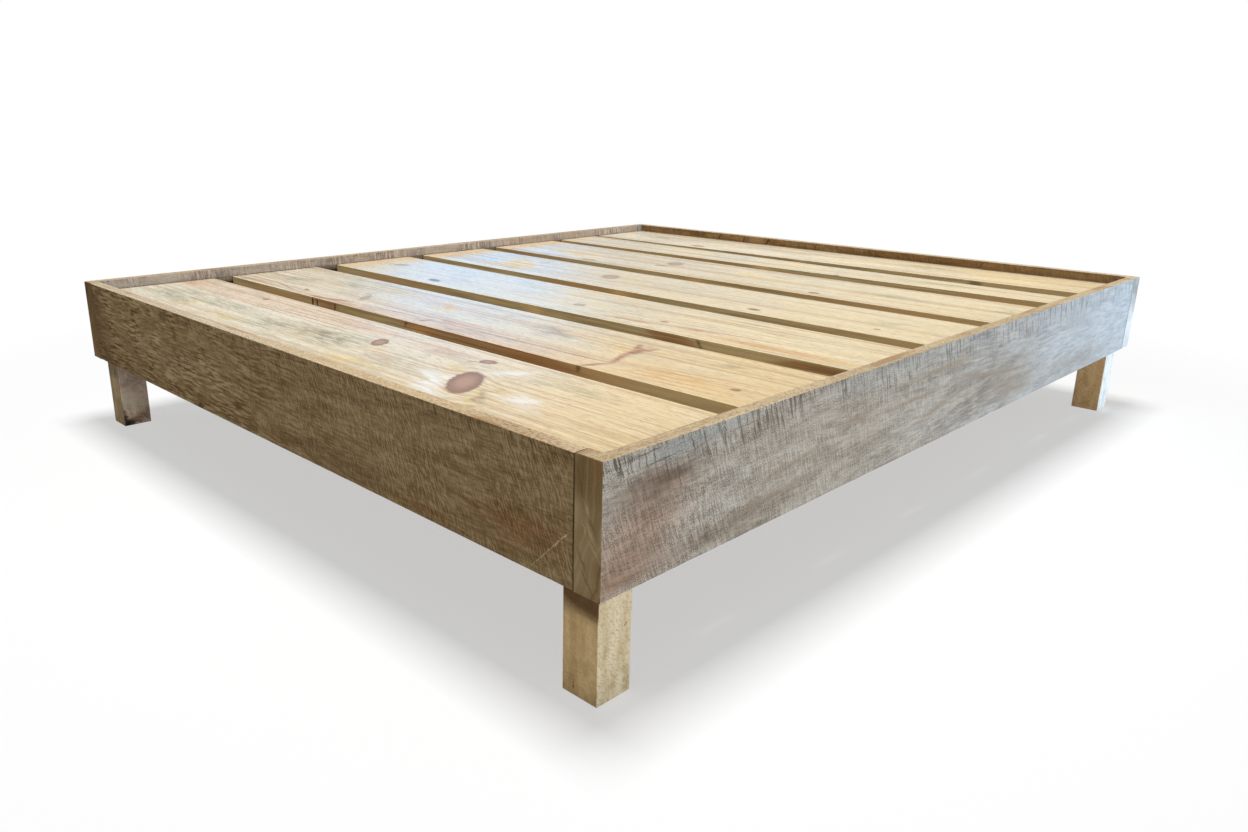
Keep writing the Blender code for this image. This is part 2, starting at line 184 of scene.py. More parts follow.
class NodeBench:
    """The nodes of one material or of the world, and short ways to lay them out."""

    def __init__(self, name: str, world: bpy.types.World | None = None) -> None:
        """Start an empty material, or empty a world's nodes.

        Args:
            name: the material's name.
            world: the world to work on instead of a new material.
        """
        self.owner = world or bpy.data.materials.new(name)
        self.owner.use_nodes = True
        self.tree = self.owner.node_tree
        self.tree.nodes.clear()

    def node(
        self, kind: str, inputs: dict[str | int, Input] | None = None, **settings: Any
    ) -> bpy.types.Node:
        """Add a shader node.

        Args:
            kind: the node's type name without its "ShaderNode".
            inputs: what feeds each input socket, by name or number.
            settings: the node's own properties.

        Returns:
            The new node.
        """
        made = self.tree.nodes.new("ShaderNode" + kind)
        for key, value in settings.items():
            setattr(made, key, value)
        for key, value in (inputs or {}).items():
            self.feed(made.inputs[key], value)
        return made

    def feed(self, socket: bpy.types.NodeSocket, value: Input) -> None:
        """Link a signal to a socket, or set a constant on it.

        Args:
            socket: the input socket.
            value: a signal, a number, a colour in screen values or a light with its alpha.
        """
        if isinstance(value, Signal):
            self.tree.links.new(value.socket, socket)
        elif isinstance(value, tuple) and len(value) == 3:
            socket.default_value = linear(value)
        else:
            socket.default_value = value

    def math(self, operation: str, *values: Input) -> Signal:
        """One Math node."""
        node = self.node("Math", dict(enumerate(values)), operation=operation)
        return Signal(self, node.outputs[0])

    def place(self) -> tuple[Signal, Signal, Signal]:
        """Find the surface point's place in the row frame.

        Returns:
            Its x, y and z, in metres.
        """
        coordinates = self.node("TexCoord")
        parts = self.node("SeparateXYZ", {0: Signal(self, coordinates.outputs["Object"])})
        return tuple(Signal(self, parts.outputs[axis]) for axis in range(3))

    def join(self, x: Input, y: Input, z: Input) -> Signal:
        """Put three numbers together as a vector."""
        node = self.node("CombineXYZ", {0: x, 1: y, 2: z})
        return Signal(self, node.outputs[0])

    def length(self, vector: Signal) -> Signal:
        """The length of a vector."""
        node = self.node("VectorMath", {0: vector}, operation="LENGTH")
        return Signal(self, node.outputs["Value"])

    def noise(
        self, x: Input, y: Input, z: Input,
        scale: float = 1.0, detail: float = 2.0, roughness: float = 0.5, distortion: float = 0.0,
    ) -> Signal:
        """Smooth noise from 0 to 1.

        Args:
            x: the first coordinate to read it at.
            y: the second.
            z: the third.
            scale: how many features to one unit of the coordinates.
            detail: how many finer layers are added.
            roughness: how strong the finer layers are.
            distortion: how far the pattern is pulled about.

        Returns:
            The noise value.
        """
        inputs = {
            "Vector": self.join(x, y, z),
            "Scale": scale,
            "Detail": detail,
            "Roughness": roughness,
            "Distortion": distortion,
        }
        return Signal(self, self.node("TexNoise", inputs).outputs["Fac"])

    def ramp(self, factor: Signal, stops: Sequence[tuple[float, Colour]]) -> Signal:
        """A colour picked along a row of colour stops.

        Args:
            factor: where along the row.
            stops: each stop's place and colour, in order.

        Returns:
            The colour.
        """
        node = self.node("ValToRGB", {"Fac": factor})
        elements = node.color_ramp.elements
        while len(elements) < len(stops):
            elements.new(0.5)
        for element, (position, colour) in zip(elements, stops):
            element.position = position
            element.color = linear(colour)
        return Signal(self, node.outputs["Color"])

    def mix(self, factor: Input, first: Input, second: Input, mode: str = "MIX") -> Signal:
        """Mix two colours.

        Args:
            factor: the second colour's share.
            first: the colour at 0.
            second: the colour at 1.
            mode: Blender's blend mode.

        Returns:
            The mixed colour.
        """
        node = self.node("Mix", {0: factor, 6: first, 7: second}, data_type="RGBA", blend_type=mode)
        return Signal(self, node.outputs[2])

    def oval(self, flat: Signal, mark: "Mark") -> Signal:
        """How far a point is from a mark's middle, as a share of the mark's half sizes.

        Args:
            flat: the point in the face's own plane.
            mark: the mark.

        Returns:
            The distance: 0 at the middle and 1 on the mark's edge.
        """
        mapped = self.node("Mapping", {"Vector": flat}, vector_type="TEXTURE")
        mapped.inputs["Location"].default_value = (mark.across, mark.along, 0.0)
        mapped.inputs["Rotation"].default_value = (0.0, 0.0, math.radians(mark.turn))
        mapped.inputs["Scale"].default_value = (mark.half_long, mark.half_short, 1.0)
        return self.length(Signal(self, mapped.outputs[0]))

    def blend(self, share: Signal, first: bpy.types.Node, second: bpy.types.Node) -> bpy.types.Node:
        """The shader that goes from the first shader to the second as share goes from 0 to 1."""
        ends = {1: Signal(self, first.outputs[0]), 2: Signal(self, second.outputs[0])}
        return self.node("MixShader", {0: share, **ends})

    def cover(
        self, shader: bpy.types.Node, output: str = "OutputMaterial"
    ) -> bpy.types.Material | bpy.types.World:
        """Cover the surface with a shader and hand over the material or world."""
        self.node(output, {"Surface": Signal(self, shader.outputs[0])})
        return self.owner

    def surface(
        self, colour: Input, roughness: Input, relief: Signal, depth: float, **shine: float
    ) -> bpy.types.Material:
        """Cover the surface with one Principled shader.

        Args:
            colour: the base colour.
            roughness: the roughness.
            relief: the height of the surface, from 0 to 1.
            depth: how deep that relief is, in metres.
            shine: other inputs of the shader, with underscores for spaces.

        Returns:
            The material.
        """
        shader = self.node("BsdfPrincipled", {"Base Color": colour, "Roughness": roughness})
        for key, value in shine.items():
            shader.inputs[key.replace("_", " ")].default_value = value
        bump = self.node("Bump", {"Height": relief, "Strength": 1.0, "Distance": depth})
        self.feed(shader.inputs["Normal"], Signal(self, bump.outputs[0]))
        return self.cover(shader)


class Edge(Enum):
    """How a mark's edge runs: clean, rough or cloudy."""

    CLEAN = (0.0, 0.0)
    ROUGH = (0.008, 0.006)
    CLOUDY = (0.110, 0.060)


@dataclass(frozen=True)
class MarkLook:
    """A kind of mark: its colours, how soft and what sort its edge is, and what it does to the wood.

    A tint darkens the wood and leaves its figure to be seen, where other marks cover it.
    """

    rim: Colour
    heart: Colour
    soft: float = 0.25
    strength: float = 0.9
    flow: float = 0.0
    broken: float = 0.0
    edge: Edge = Edge.ROUGH
    dull: float = 0.0
    tint: bool = False


class MarkKind(Enum):
    """The knots, stains and streaks that the boards show, and the painted shade of the ledges and of a rail's
    shadow on a leg.
    """

    RED_KNOT = MarkLook((132, 94, 68), (165, 126, 98), 0.14, 0.95, 0.35)
    BROWN_KNOT = MarkLook((138, 98, 62), (158, 118, 82), 0.35, 0.9, 0.4)
    GREY_KNOT = MarkLook((148, 128, 104), (172, 152, 126), 0.40, 0.85, 0.4)
    DARK_KNOT = MarkLook((112, 88, 54), (132, 108, 72), 0.45, 0.95, 0.4)
    BLACK_KNOT = MarkLook((52, 38, 22), (66, 48, 28), 0.5, 0.9)
    TAN_CLOUD = MarkLook((249, 244, 229), (241, 231, 210), 0.8, 0.85, 0.0, 0.5, Edge.CLOUDY, 0.35, True)
    GREY_CLOUD = MarkLook((236, 231, 222), (216, 209, 196), 0.9, 0.95, 0.0, 0.7, Edge.CLOUDY, tint=True)
    WHITE_STREAK = MarkLook((226, 225, 218), (228, 231, 234), 0.9, 0.72, 0.0, 0.7, Edge.CLOUDY)
    YELLOW_CLOUD = MarkLook((254, 249, 220), (252, 241, 196), 0.8, 0.9, 0.0, 0.5, Edge.CLOUDY, tint=True)
    PINK_ZONE = MarkLook((252, 238, 232), (252, 238, 232), 0.08, 0.9, tint=True)
    PINK_CLOUD = MarkLook((250, 232, 226), (248, 224, 214), 0.8, 0.9, 0.0, 0.3, Edge.CLOUDY, tint=True)
    GREEN_CLOUD = MarkLook((224, 231, 228), (203, 213, 209), 0.85, 0.95, 0.0, 0.8, Edge.CLOUDY, tint=True)
    SPECKS = MarkLook((150, 138, 124), (134, 120, 106), 0.9, 0.8, 0.0, 1.0, Edge.CLOUDY)
    RED_STREAK = MarkLook((166, 122, 98), (146, 100, 78), 0.7, 0.95, 0.0, 0.35)
    PINK_LINE = MarkLook((174, 132, 106), (162, 118, 92), 0.9, 0.95, 0.0, 0.35)
    ARC_LINE = MarkLook((198, 152, 102), (188, 140, 92), 0.9, 0.95, 0.0, 0.2)
    ORANGE_STREAK = MarkLook((238, 205, 168), (226, 182, 136), 0.7, 0.9, 0.0, 0.5, tint=True)
    GREY_STREAK = MarkLook((176, 156, 120), (160, 141, 106), 0.8, 0.85, 0.0, 0.5)
    RUST_PATCH = MarkLook((140, 94, 52), (128, 82, 42), 0.25, 0.8, 0.0, 0.5)
    DARK_PATCH = MarkLook((92, 72, 44), (80, 60, 36), 0.6, 0.8, 0.0, 0.3)
    BARK = MarkLook((40, 32, 24), (30, 25, 20), 0.5, 0.97, 0.0, 0.2)
    SCRATCH = MarkLook((168, 154, 118), (186, 176, 142), 0.9, 0.75, 0.0, 0.85)
    CHECK = MarkLook((48, 32, 18), (40, 26, 14), 0.6, 0.95)
    SEAM = MarkLook((44, 30, 18), (38, 25, 14), 0.4, 0.9, 0.0, 0.1, Edge.CLEAN)
    BLUE_SEAM = MarkLook((134, 146, 160), (122, 134, 148), 0.6, 0.8, 0.0, 0.2, Edge.CLEAN)
    TAN_SEAM = MarkLook((140, 110, 78), (128, 98, 66), 0.6, 0.8, 0.0, 0.2, Edge.CLEAN)
    CRACK = MarkLook((78, 64, 52), (68, 54, 44), 0.8, 0.95, 0.0, 0.4)
    REDDISH_SHADE = MarkLook((246, 226, 214), (230, 204, 188), 1.0, 0.95, 0.0, 0.5, Edge.CLOUDY, tint=True)
    BROWN_SHADE = MarkLook((218, 208, 199), (200, 186, 176), 1.0, 0.95, 0.0, 0.7, Edge.CLOUDY, tint=True)
    BLUE_SHADE = MarkLook((150, 156, 154), (150, 158, 158), 0.5, 0.5, 0.0, 0.7, Edge.ROUGH)
    GRAIN_LINE = MarkLook((122, 106, 88), (112, 94, 74), 0.9, 0.8, 0.0, 0.5)
    GRAIN_BAND = MarkLook((146, 132, 114), (136, 121, 102), 1.0, 0.8, 0.0, 0.7)
    DARK_END = MarkLook((176, 158, 138), (150, 128, 108), 0.8, 0.95, 0.0, 0.4, tint=True)
    RED_TINGE = MarkLook((255, 238, 226), (250, 226, 212), 1.0, 0.95, 0.0, 0.4, Edge.CLOUDY, tint=True)
    TAN_PATCH = MarkLook((142, 112, 72), (148, 118, 78), 0.4, 0.8, 0.0, 0.3)
    PALE_STREAK = MarkLook((130, 114, 84), (142, 127, 98), 0.9, 0.8, 0.0, 0.3)
    DARK_STREAK = MarkLook((90, 72, 45), (82, 64, 38), 0.9, 0.7, 0.0, 0.3)
    LEG_PALE = MarkLook((186, 172, 152), (200, 187, 168), 0.8, 0.85, 0.0, 0.5, Edge.CLOUDY)
    LEG_PINK = MarkLook((158, 136, 126), (148, 124, 114), 0.8, 0.7, 0.0, 0.5, Edge.CLOUDY)
    LEG_RED = MarkLook((112, 78, 58), (100, 66, 46), 0.8, 0.8, 0.0, 0.4, Edge.CLOUDY)
    LEDGE_SHADE = MarkLook((60, 47, 34), (50, 39, 28), 0.12, 0.95)
    LOW_SHADE = MarkLook((236, 230, 222), (222, 212, 202), 0.9, 0.95, 0.0, 0.3, Edge.CLOUDY, tint=True)
    GREY_FIBRE = MarkLook((178, 184, 182), (186, 192, 190), 1.0, 0.4, 0.0, 0.8, Edge.CLOUDY)
    TAN_TINT = MarkLook((255, 246, 226), (255, 242, 216), 1.0, 0.9, 0.0, 0.2, tint=True)
    # Painted shadow: the band that a rail throws on a leg's face just under it.
    SHADED = MarkLook((84, 52, 26), (80, 48, 23), 0.5, 0.82)

    def at(self, *places: tuple[float, ...]) -> "tuple[Mark, ...]":
        """Marks of this kind, one for each row of across, along, half sizes and turn."""
        return tuple(Mark(self, *place) for place in places)


@dataclass(frozen=True)
class Mark:
    """One knot, stain or streak on a face: its middle, half sizes in metres and turn in degrees.

    On a face that lies flat, across and along are x and y. On one that stands, along is the height.
    """

    kind: MarkKind
    across: float
    along: float
    half_long: float
    half_short: float
    turn: float = 0.0


@dataclass(frozen=True)
class MarkedFace:
    """A face's own plane as its marks see it: once for each sort of edge."""

    bench: NodeBench
    across: Signal
    along: Signal
    seed: float = 0.0

    def places(self) -> dict[Edge, Signal]:
        """Pull the point in the face's plane about, as each sort of edge asks.

        Returns:
            The pulled point for each sort of edge.
        """
        bench = self.bench
        rough = bench.noise(self.across * 90.0, self.along * 150.0, self.seed).around()
        cloudy = bench.noise(self.across * 13.0, self.along * 34.0, self.seed, detail=4.0).around()
        found = {}
        for edge, pull in ((Edge.CLEAN, None), (Edge.ROUGH, rough), (Edge.CLOUDY, cloudy)):
            across, along = self.across, self.along
            if pull is not None:
                across = across + pull * edge.value[0]
                along = along + pull * edge.value[1]
            found[edge] = bench.join(across, along, 0.0)
        return found

    def lay(self, ground: Signal, marks: Iterable[Mark], breaks: Signal) -> tuple[Signal, Signal | float]:
        """Lay marks over a ground colour.

        Args:
            ground: the colour under the marks.
            marks: the marks, the lowest first.
            breaks: a fine noise that breaks up the streaks.

        Returns:
            The colour with the marks on it, and how dull they leave the surface.
        """
        bench = self.bench
        places = self.places()
        dullness = 0.0
        for mark in marks:
            look = mark.kind.value
            distance = bench.oval(places[look.edge], mark)
            cover = distance.rise(1.0 + look.soft / 2, 1.0 - look.soft) * look.strength
            if look.broken:
                cover = cover * (breaks.rise(0.35, 0.65) * look.broken + (1.0 - look.broken))
            inside = bench.mix(distance.rise(0.2, 0.9), look.heart, look.rim)
            ground = bench.mix(cover, ground, inside, "MULTIPLY" if look.tint else "MIX")
            if look.dull:
                dullness = bench.math("MAXIMUM", dullness, cover * look.dull)
        return ground, dullness

    def bend(self, marks: Iterable[Mark]) -> Signal:
        """Bend the grain's lines round the knots.

        Args:
            marks: the marks, of which those with a flow are knots.

        Returns:
            The place across the grain to read the figure at.
        """
        bench = self.bench
        flat = self.places()[Edge.ROUGH]
        across_grain = self.along
        for mark in marks:
            flow = mark.kind.value.flow
            if flow:
                pull = bench.oval(flat, mark).rise(2.2, 0.8) * flow
                node = bench.node("Mix", {0: pull, 2: across_grain, 3: mark.along})
                across_grain = Signal(bench, node.outputs[0])
        return across_grain


@dataclass(frozen=True)
class SawnMango:
    """Rough-sawn mango: soft bands, short dashes, a fine slanted comb, dark strokes and a fuzzy nap."""

    name: str
    grain: Grain
    dark: Colour
    mid: Colour
    pale: Colour
    warm: Colour
    cool: Colour
    seed: float = 0.0
    bands: float = 0.25
    dashes: float = 0.35
    dash_length: float = 17.0
    dash_rows: float = 96.0
    comb: float = 0.25
    comb_pitch: float = 300.0
    lean: float = 0.35
    turnover: tuple[float, float] | None = None
    drawn: float = 0.0
    kept: float = 0.0
    band_length: float = 6.0
    band_rows: float = 55.0
    patch_length: float = 8.0
    comb_rows: float = 34.0
    strokes: float = 0.0
    stroke_pitch: float = 240.0
    stroke_floor: float = 0.285
    stroke_top: float = 0.332
    speckle: float = 0.25
    fibre: float = 0.14
    crisp: float = 0.14
    nap_scale: float = 470.0
    warmth: float = 0.35
    coolness: float = 0.3
    greying_and_sheen: tuple[float, float, float] | None = None
    greying_and_sheen_colour: Colour = (170, 178, 184)
    marks: tuple[Mark, ...] = ()
    specular: float = 0.05
    roughness: float = 0.85

    def material(self) -> bpy.types.Material:
        """Lay out the nodes.

        Returns:
            The finished material.
        """
        bench = NodeBench(self.name)
        axes = bench.place()
        station = axes[self.grain.value[0]]
        height = axes[2]
        _, across, through = (axes[axis] for axis in self.grain.value)
        along = station + self.seed * 3.1
        wander = bench.noise(along * 4.0, across * 9.0, through * 12.0).around() * 0.014
        level = through + wander
        bands = bench.noise(
            along * self.band_length, across * self.band_rows, level * self.band_rows, distortion=0.35
        ).rise(0.36, 0.64)
        dashes = bench.noise(
            along * self.dash_length, across * self.dash_rows, level * self.dash_rows,
            detail=3.0, roughness=0.6, distortion=0.25,
        ).rise(0.5 - self.crisp, 0.5 + self.crisp)
        fibre = bench.noise(along * 46.0, across * 330.0, level * 330.0, roughness=0.6)
        slanted = along + height * self.lean
        comb = bench.noise(
            slanted * self.comb_pitch, across * self.comb_rows, through * self.comb_rows, distortion=0.2
        ).rise(0.52 - self.crisp, 0.52 + self.crisp)
        stroke = bench.noise(slanted * self.stroke_pitch, across * 26.0, through * 24.0, distortion=0.3)
        stroke = stroke.rise(0.50, 0.64)
        patch = bench.noise(along * self.patch_length, across * 14.0, through * 20.0 + self.seed)
        nap = bench.noise(along, across, through, scale=self.nap_scale, roughness=0.75)
        combed = patch.rise(0.36, 0.60)
        dashed = patch.rise(0.64, 0.40) * 0.7 + 0.3
        speckled = 1.0
        if self.turnover is not None:
            start, end = self.turnover
            combed = (combed * 0.6 + 0.4) * (station.rise(start, end) * (1.0 - self.kept) + self.kept)
            dashed = dashed * (station.rise(end, start) * (1.0 - self.kept) + self.kept)
            speckled = dashed * -self.drawn + 1.0
        struck = height.rise(self.stroke_floor, self.stroke_top) * (patch.rise(0.36, 0.56) * 0.7 + 0.3)
        tone = (
            bands.around() * self.bands
            + dashes.around() * dashed * self.dashes
            + comb.around() * combed * self.comb
            + fibre.rise(0.32, 0.68).around() * self.fibre
            - stroke * struck * self.strokes
            + nap.rise(0.30, 0.70).around() * speckled * self.speckle
            + 0.55
        )
        colour = bench.ramp(tone, ((0.08, self.dark), (0.55, self.mid), (0.95, self.pale)))
        drift = bench.noise(along * 2.2, across * 8.0, through * 11.0 + self.seed * 2.0)
        shade = bench.mix(tone.rise(-0.1, 1.1), GREY, WHITE)
        warm = bench.mix(1.0, self.warm, shade, "MULTIPLY")
        cool = bench.mix(1.0, self.cool, shade, "MULTIPLY")
        colour = bench.mix(drift.rise(0.50, 0.70) * self.warmth, colour, warm)
        colour = bench.mix(drift.rise(0.50, 0.32) * self.coolness, colour, cool)
        # Painted sheen: along the grain the colour goes over to a pale blue-white, partly greyed wood and
        # partly a painted reflection of the bright surroundings.
        if self.greying_and_sheen is not None:
            start, end, share = self.greying_and_sheen
            sheen_share = station.rise(start, end) * share
            colour = bench.mix(sheen_share, colour, bench.mix(1.0, self.greying_and_sheen_colour, shade, "MULTIPLY"))
        if self.marks:
            face = MarkedFace(bench, station, height, self.seed)
            colour, _ = face.lay(colour, self.marks, nap)
        relief = dashes * 0.25 - stroke * struck * 0.35 + comb * 0.2 + nap * 0.35 + fibre * 0.25 + 0.2
        return bench.surface(
            colour, nap.around() * 0.1 + self.roughness, relief, 0.0007, Specular_IOR_Level=self.specular
        )


@dataclass(frozen=True)
class PlanedMango:
    """Planed mango edge: tan, with short open pores along the grain and a few brown patches."""

    name: str
    grain: Grain
    ground: Colour = (182, 166, 141)
    pore: Colour = (138, 115, 85)
    pale: Colour = (194, 182, 161)
    patch: Colour = (150, 123, 90)
    marks: tuple[Mark, ...] = ()
    seed: float = 0.0

    def material(self) -> bpy.types.Material:
        """Lay out the nodes.

        Returns:
            The finished material.
        """
        bench = NodeBench(self.name)
        axes = bench.place()
        along, across, through = (axes[axis] for axis in self.grain.value)
        along = along + self.seed * 2.3
        bands = bench.noise(along * 4.0, across * 70.0, through * 70.0, detail=3.0, roughness=0.6)
        pores = bench.noise(along * 190.0, across * 620.0, through * 620.0)
        blot = bench.noise(along * 7.0, across * 30.0, through * 30.0 + self.seed)
        colour = bench.mix(bands.rise(0.35, 0.68), self.ground, self.pale)
        colour = bench.mix(blot.rise(0.56, 0.70) * 0.7, colour, self.patch)
        colour = bench.mix(pores.rise(0.46, 0.64) * 0.75, colour, self.pore)
        colour, _ = MarkedFace(bench, axes[0], axes[1], self.seed).lay(colour, self.marks, pores)
        relief = bands * 0.3 - pores * 0.5 + 0.5
        return bench.surface(colour, 0.62, relief, 0.0004, Specular_IOR_Level=0.2)


@dataclass(frozen=True)
class MangoEndGrain:
    """End grain: growth arcs round a pith outside the board, broad and fine, and open pores."""

    name: str
    grain: Grain
    pith: Point
    dark: Colour = (86, 66, 40)
    mid: Colour = (124, 104, 72)
    pale: Colour = (152, 136, 104)
    red: Colour = (112, 76, 44)
    reddened: float = 0.0
    marks: tuple[Mark, ...] = ()
    seed: float = 0.0

    def material(self) -> bpy.types.Material:
        """Lay out the nodes.

        Returns:
            The finished material.
        """
        bench = NodeBench(self.name)
        axes = bench.place()
        _, across, through = (axes[axis] for axis in self.grain.value)
        from_pith = (across - self.pith[0], through - self.pith[1], self.seed)
        sway = bench.noise(*from_pith, scale=14.0).around() * 0.012
        radius = bench.length(bench.join(*from_pith)) + sway
        rings = bench.noise(radius * 210.0, self.seed, 0.0, detail=3.0, roughness=0.6)
        pores = bench.noise(*from_pith, scale=650.0, detail=1.0)
        broad = bench.noise(radius * 30.0, through * 8.0, self.seed)
        tone = (
            rings.rise(0.36, 0.64).around() * 0.32
            + broad.rise(0.36, 0.64).around() * 0.28
            + pores.around() * 0.3
            + 0.5
        )
        colour = bench.ramp(tone, ((0.2, self.dark), (0.5, self.mid), (0.82, self.pale)))
        if self.reddened:
            corner = through.rise(0.300, 0.336) * across.rise(0.800, 0.822) * self.reddened
            colour = bench.mix(corner, colour, self.red)
        colour, _ = MarkedFace(bench, across, through, self.seed).lay(colour, self.marks, rings)
        relief = rings * 0.3 + pores * 0.5
        return bench.surface(colour, 0.88, relief, 0.0005, Specular_IOR_Level=0.05)


@dataclass(frozen=True)
class SlatFace:
    """A slat's varnished faces: cream sapwood with growth lines, spalting and its own marks, and on some a
    painted reflection of the left rail at the left end.
    """

    name: str
    seed: float
    marks: tuple[Mark, ...] = ()
    spalting: float = 0.25
    lines: float = 0.5
    rows: float = 62.0
    pink: float = 0.2
    rail_reflection: float = 0.0
    cream: Colour = (222, 213, 187)
    pale: Colour = (231, 227, 210)
    line: Colour = (178, 147, 105)
    gold: Colour = (230, 212, 168)
    rose: Colour = (216, 190, 166)
    spalt: Colour = (180, 180, 164)
    pore: Colour = (152, 126, 90)
    tan: Colour = (221, 191, 152)

    def material(self) -> bpy.types.Material:
        """Lay out the nodes.

        Returns:
            The finished material.
        """
        bench = NodeBench(self.name)
        x, y, z = bench.place()
        face = MarkedFace(bench, x, y, self.seed)
        across = face.bend(self.marks)
        wander = bench.noise(x * 1.6 + self.seed * 5.0, y * 4.0, z * 4.0).around() * 0.030
        across = across + wander
        level = across * self.rows + self.seed * 9.0
        rings = bench.noise(x * 0.5, level, z * self.rows, detail=3.0, roughness=0.6)
        fine = bench.noise(x * 3.0, across * 240.0, z * 240.0 + self.seed, detail=3.0, roughness=0.75)
        fibre = bench.noise(x * 26.0, across * 900.0, z * 900.0, roughness=0.7)
        pores = bench.noise(x * 60.0, across * 700.0, z * 700.0 + self.seed, detail=1.0)
        cloud = bench.noise(x * 6.0, y * 18.0, self.seed * 3.0, detail=4.0, roughness=0.6)
        mottle = bench.noise(x * 26.0, y * 130.0, self.seed, detail=4.0, roughness=0.65, distortion=0.4)
        drift = bench.noise(x * 1.7, across * 14.0, self.seed * 7.0)
        colour = bench.mix(cloud.rise(0.38, 0.62), self.cream, self.pale)
        colour = bench.mix(drift.rise(0.48, 0.64) * self.pink, colour, self.rose)
        colour = bench.mix(x.rise(-0.20, 0.70) * 0.8, colour, self.gold)
        veil = cloud.rise(0.44, 0.60) * (mottle.rise(0.36, 0.64) * 0.8 + 0.2)
        colour = bench.mix(veil * (x.rise(0.80, 0.10) * 0.8 + 0.2) * self.spalting, colour, self.spalt)
        colour = bench.mix(mottle.rise(0.48, 0.32) * x.rise(0.90, -0.10) * 0.55, colour, self.pale)
        ring_line = rings.rise(0.49, 0.60) * 0.85 + fine.rise(0.50, 0.62) * 0.75
        colour = bench.mix(ring_line * self.lines, colour, self.line)
        colour = bench.mix(fine.rise(0.46, 0.30) * 0.35, colour, self.pale)
        colour = bench.mix(fibre.rise(0.45, 0.68) * 0.34, colour, self.line)
        colour = bench.mix(pores.rise(0.56, 0.66) * 0.5, colour, self.pore)
        colour, dullness = face.lay(colour, self.marks, mottle)
        # Painted reflection: a tan band at the left end, where the varnish mirrors the left rail.
        if self.rail_reflection:
            end = x.rise(-0.742, -0.752) * x.rise(-0.790, -0.782) * self.rail_reflection
            colour = bench.mix(end, colour, self.tan)
        relief = fine * 0.3 + fibre * 0.2 - pores.rise(0.6, 0.7) * 0.2 + 0.3
        swell = bench.noise(x * 7.0, y * 26.0, self.seed)
        relief = relief * 0.25 + swell * 0.75
        roughness = fine.around() * 0.15 + 0.25 + dullness
        return bench.surface(colour, roughness, relief, 0.0006, Specular_IOR_Level=0.2)


@dataclass(frozen=True)
class SlatEdge:
    """A slat's sawn long edges: straw brown and dull, with the marks that run down from its face, and painted
    light towards the right.
    """

    name: str
    seed: float
    marks: tuple[Mark, ...] = ()
    straw: Colour = (174, 152, 108)
    shade: Colour = (136, 113, 76)
    tan: Colour = (164, 130, 86)
    painted_light: Colour = (196, 166, 116)

    def material(self) -> bpy.types.Material:
        """Lay out the nodes.

        Returns:
            The finished material.
        """
        bench = NodeBench(self.name)
        x, y, z = bench.place()
        bands = bench.noise(x * 6.0 + self.seed, y * 90.0, z * 260.0, detail=3.0, roughness=0.6)
        broad = bench.noise(x * 2.2, self.seed * 4.0, z * 20.0)
        nap = bench.noise(x * 220.0, y * 500.0, z * 500.0, detail=1.0)
        colour = bench.mix(bands.rise(0.35, 0.7), self.straw, self.shade)
        colour = bench.mix(broad.rise(0.45, 0.65), colour, self.tan)
        # Painted light: the edges grow lighter towards the right end.
        colour = bench.mix(x.rise(0.25, 0.80) * 0.5, colour, self.painted_light)
        colour = bench.mix(nap.rise(0.45, 0.75) * 0.25, colour, self.shade)
        colour, _ = MarkedFace(bench, x, z, self.seed).lay(colour, self.marks, bands)
        relief = bands * 0.4 + nap * 0.4
        return bench.surface(colour, 0.8, relief, 0.0004, Specular_IOR_Level=0.1)


@dataclass(frozen=True)
class LegWood:
    """A leg's reused mango face: beige or brown, speckled, with slanted dents and its own marks."""

    name: str
    ground: Colour
    pale: Colour
    fleck: Colour
    seed: float = 0.0
    flat_axis: int = 0
    marks: tuple[Mark, ...] = ()
    fleck_share: float = 0.5

    def material(self) -> bpy.types.Material:
        """Lay out the nodes.

        Returns:
            The finished material.
        """
        bench = NodeBench(self.name)
        axes = bench.place()
        x, y, z = axes
        bands = bench.noise(x * 60.0 + self.seed, y * 60.0, z * 12.0, detail=3.0, roughness=0.6)
        dents = bench.noise(
            (x + z * 0.7) * 240.0 + self.seed, (y + z * 0.7) * 240.0, z * 55.0,
            detail=3.0, roughness=0.65, distortion=0.4,
        )
        blotch = bench.noise(x * 45.0, y * 45.0, z * 32.0 + self.seed, detail=3.0)
        nap = bench.noise(x, y, z, scale=620.0)
        colour = bench.mix(bands.rise(0.34, 0.66), self.ground, self.pale)
        colour = bench.mix(blotch.rise(0.50, 0.70) * 0.45, colour, self.fleck)
        colour = bench.mix(dents.rise(0.48, 0.64) * self.fleck_share, colour, self.fleck)
        colour = bench.mix(nap.rise(0.4, 0.7) * 0.25, colour, self.fleck)
        colour, _ = MarkedFace(bench, axes[self.flat_axis], z, self.seed).lay(colour, self.marks, dents)
        relief = bands * 0.3 + nap * 0.3 - dents.rise(0.5, 0.75) * 0.4 + 0.4
        return bench.surface(colour, 0.8, relief, 0.0006, Specular_IOR_Level=0.1)


@dataclass(frozen=True)
class PlainPine:
    """Planed, unvarnished pine for the parts under the slats."""

    name: str
    grain: Grain
    light: Colour = (226, 200, 150)
    late: Colour = (190, 150, 96)
    seed: float = 0.0

    def material(self) -> bpy.types.Material:
        """Lay out the nodes.

        Returns:
            The finished material.
        """
        bench = NodeBench(self.name)
        axes = bench.place()
        along, across, through = (axes[axis] for axis in self.grain.value)
        sway = bench.noise(along * 2.0, across * 12.0, through * 12.0 + self.seed, detail=1.0)
        rings = bench.noise(along * 0.7, (across + sway * 0.03) * 130.0, (through + sway * 0.02) * 130.0)
        fibre = bench.noise(along * 30.0, across * 900.0, through * 900.0, detail=1.0)
        colour = bench.mix(rings.rise(0.45, 0.68), self.light, self.late)
        colour = bench.mix(fibre.rise(0.5, 0.8) * 0.25, colour, self.late)
        relief = rings * 0.4 + fibre * 0.3
        return bench.surface(colour, 0.7, relief, 0.0003, Specular_IOR_Level=0.25)


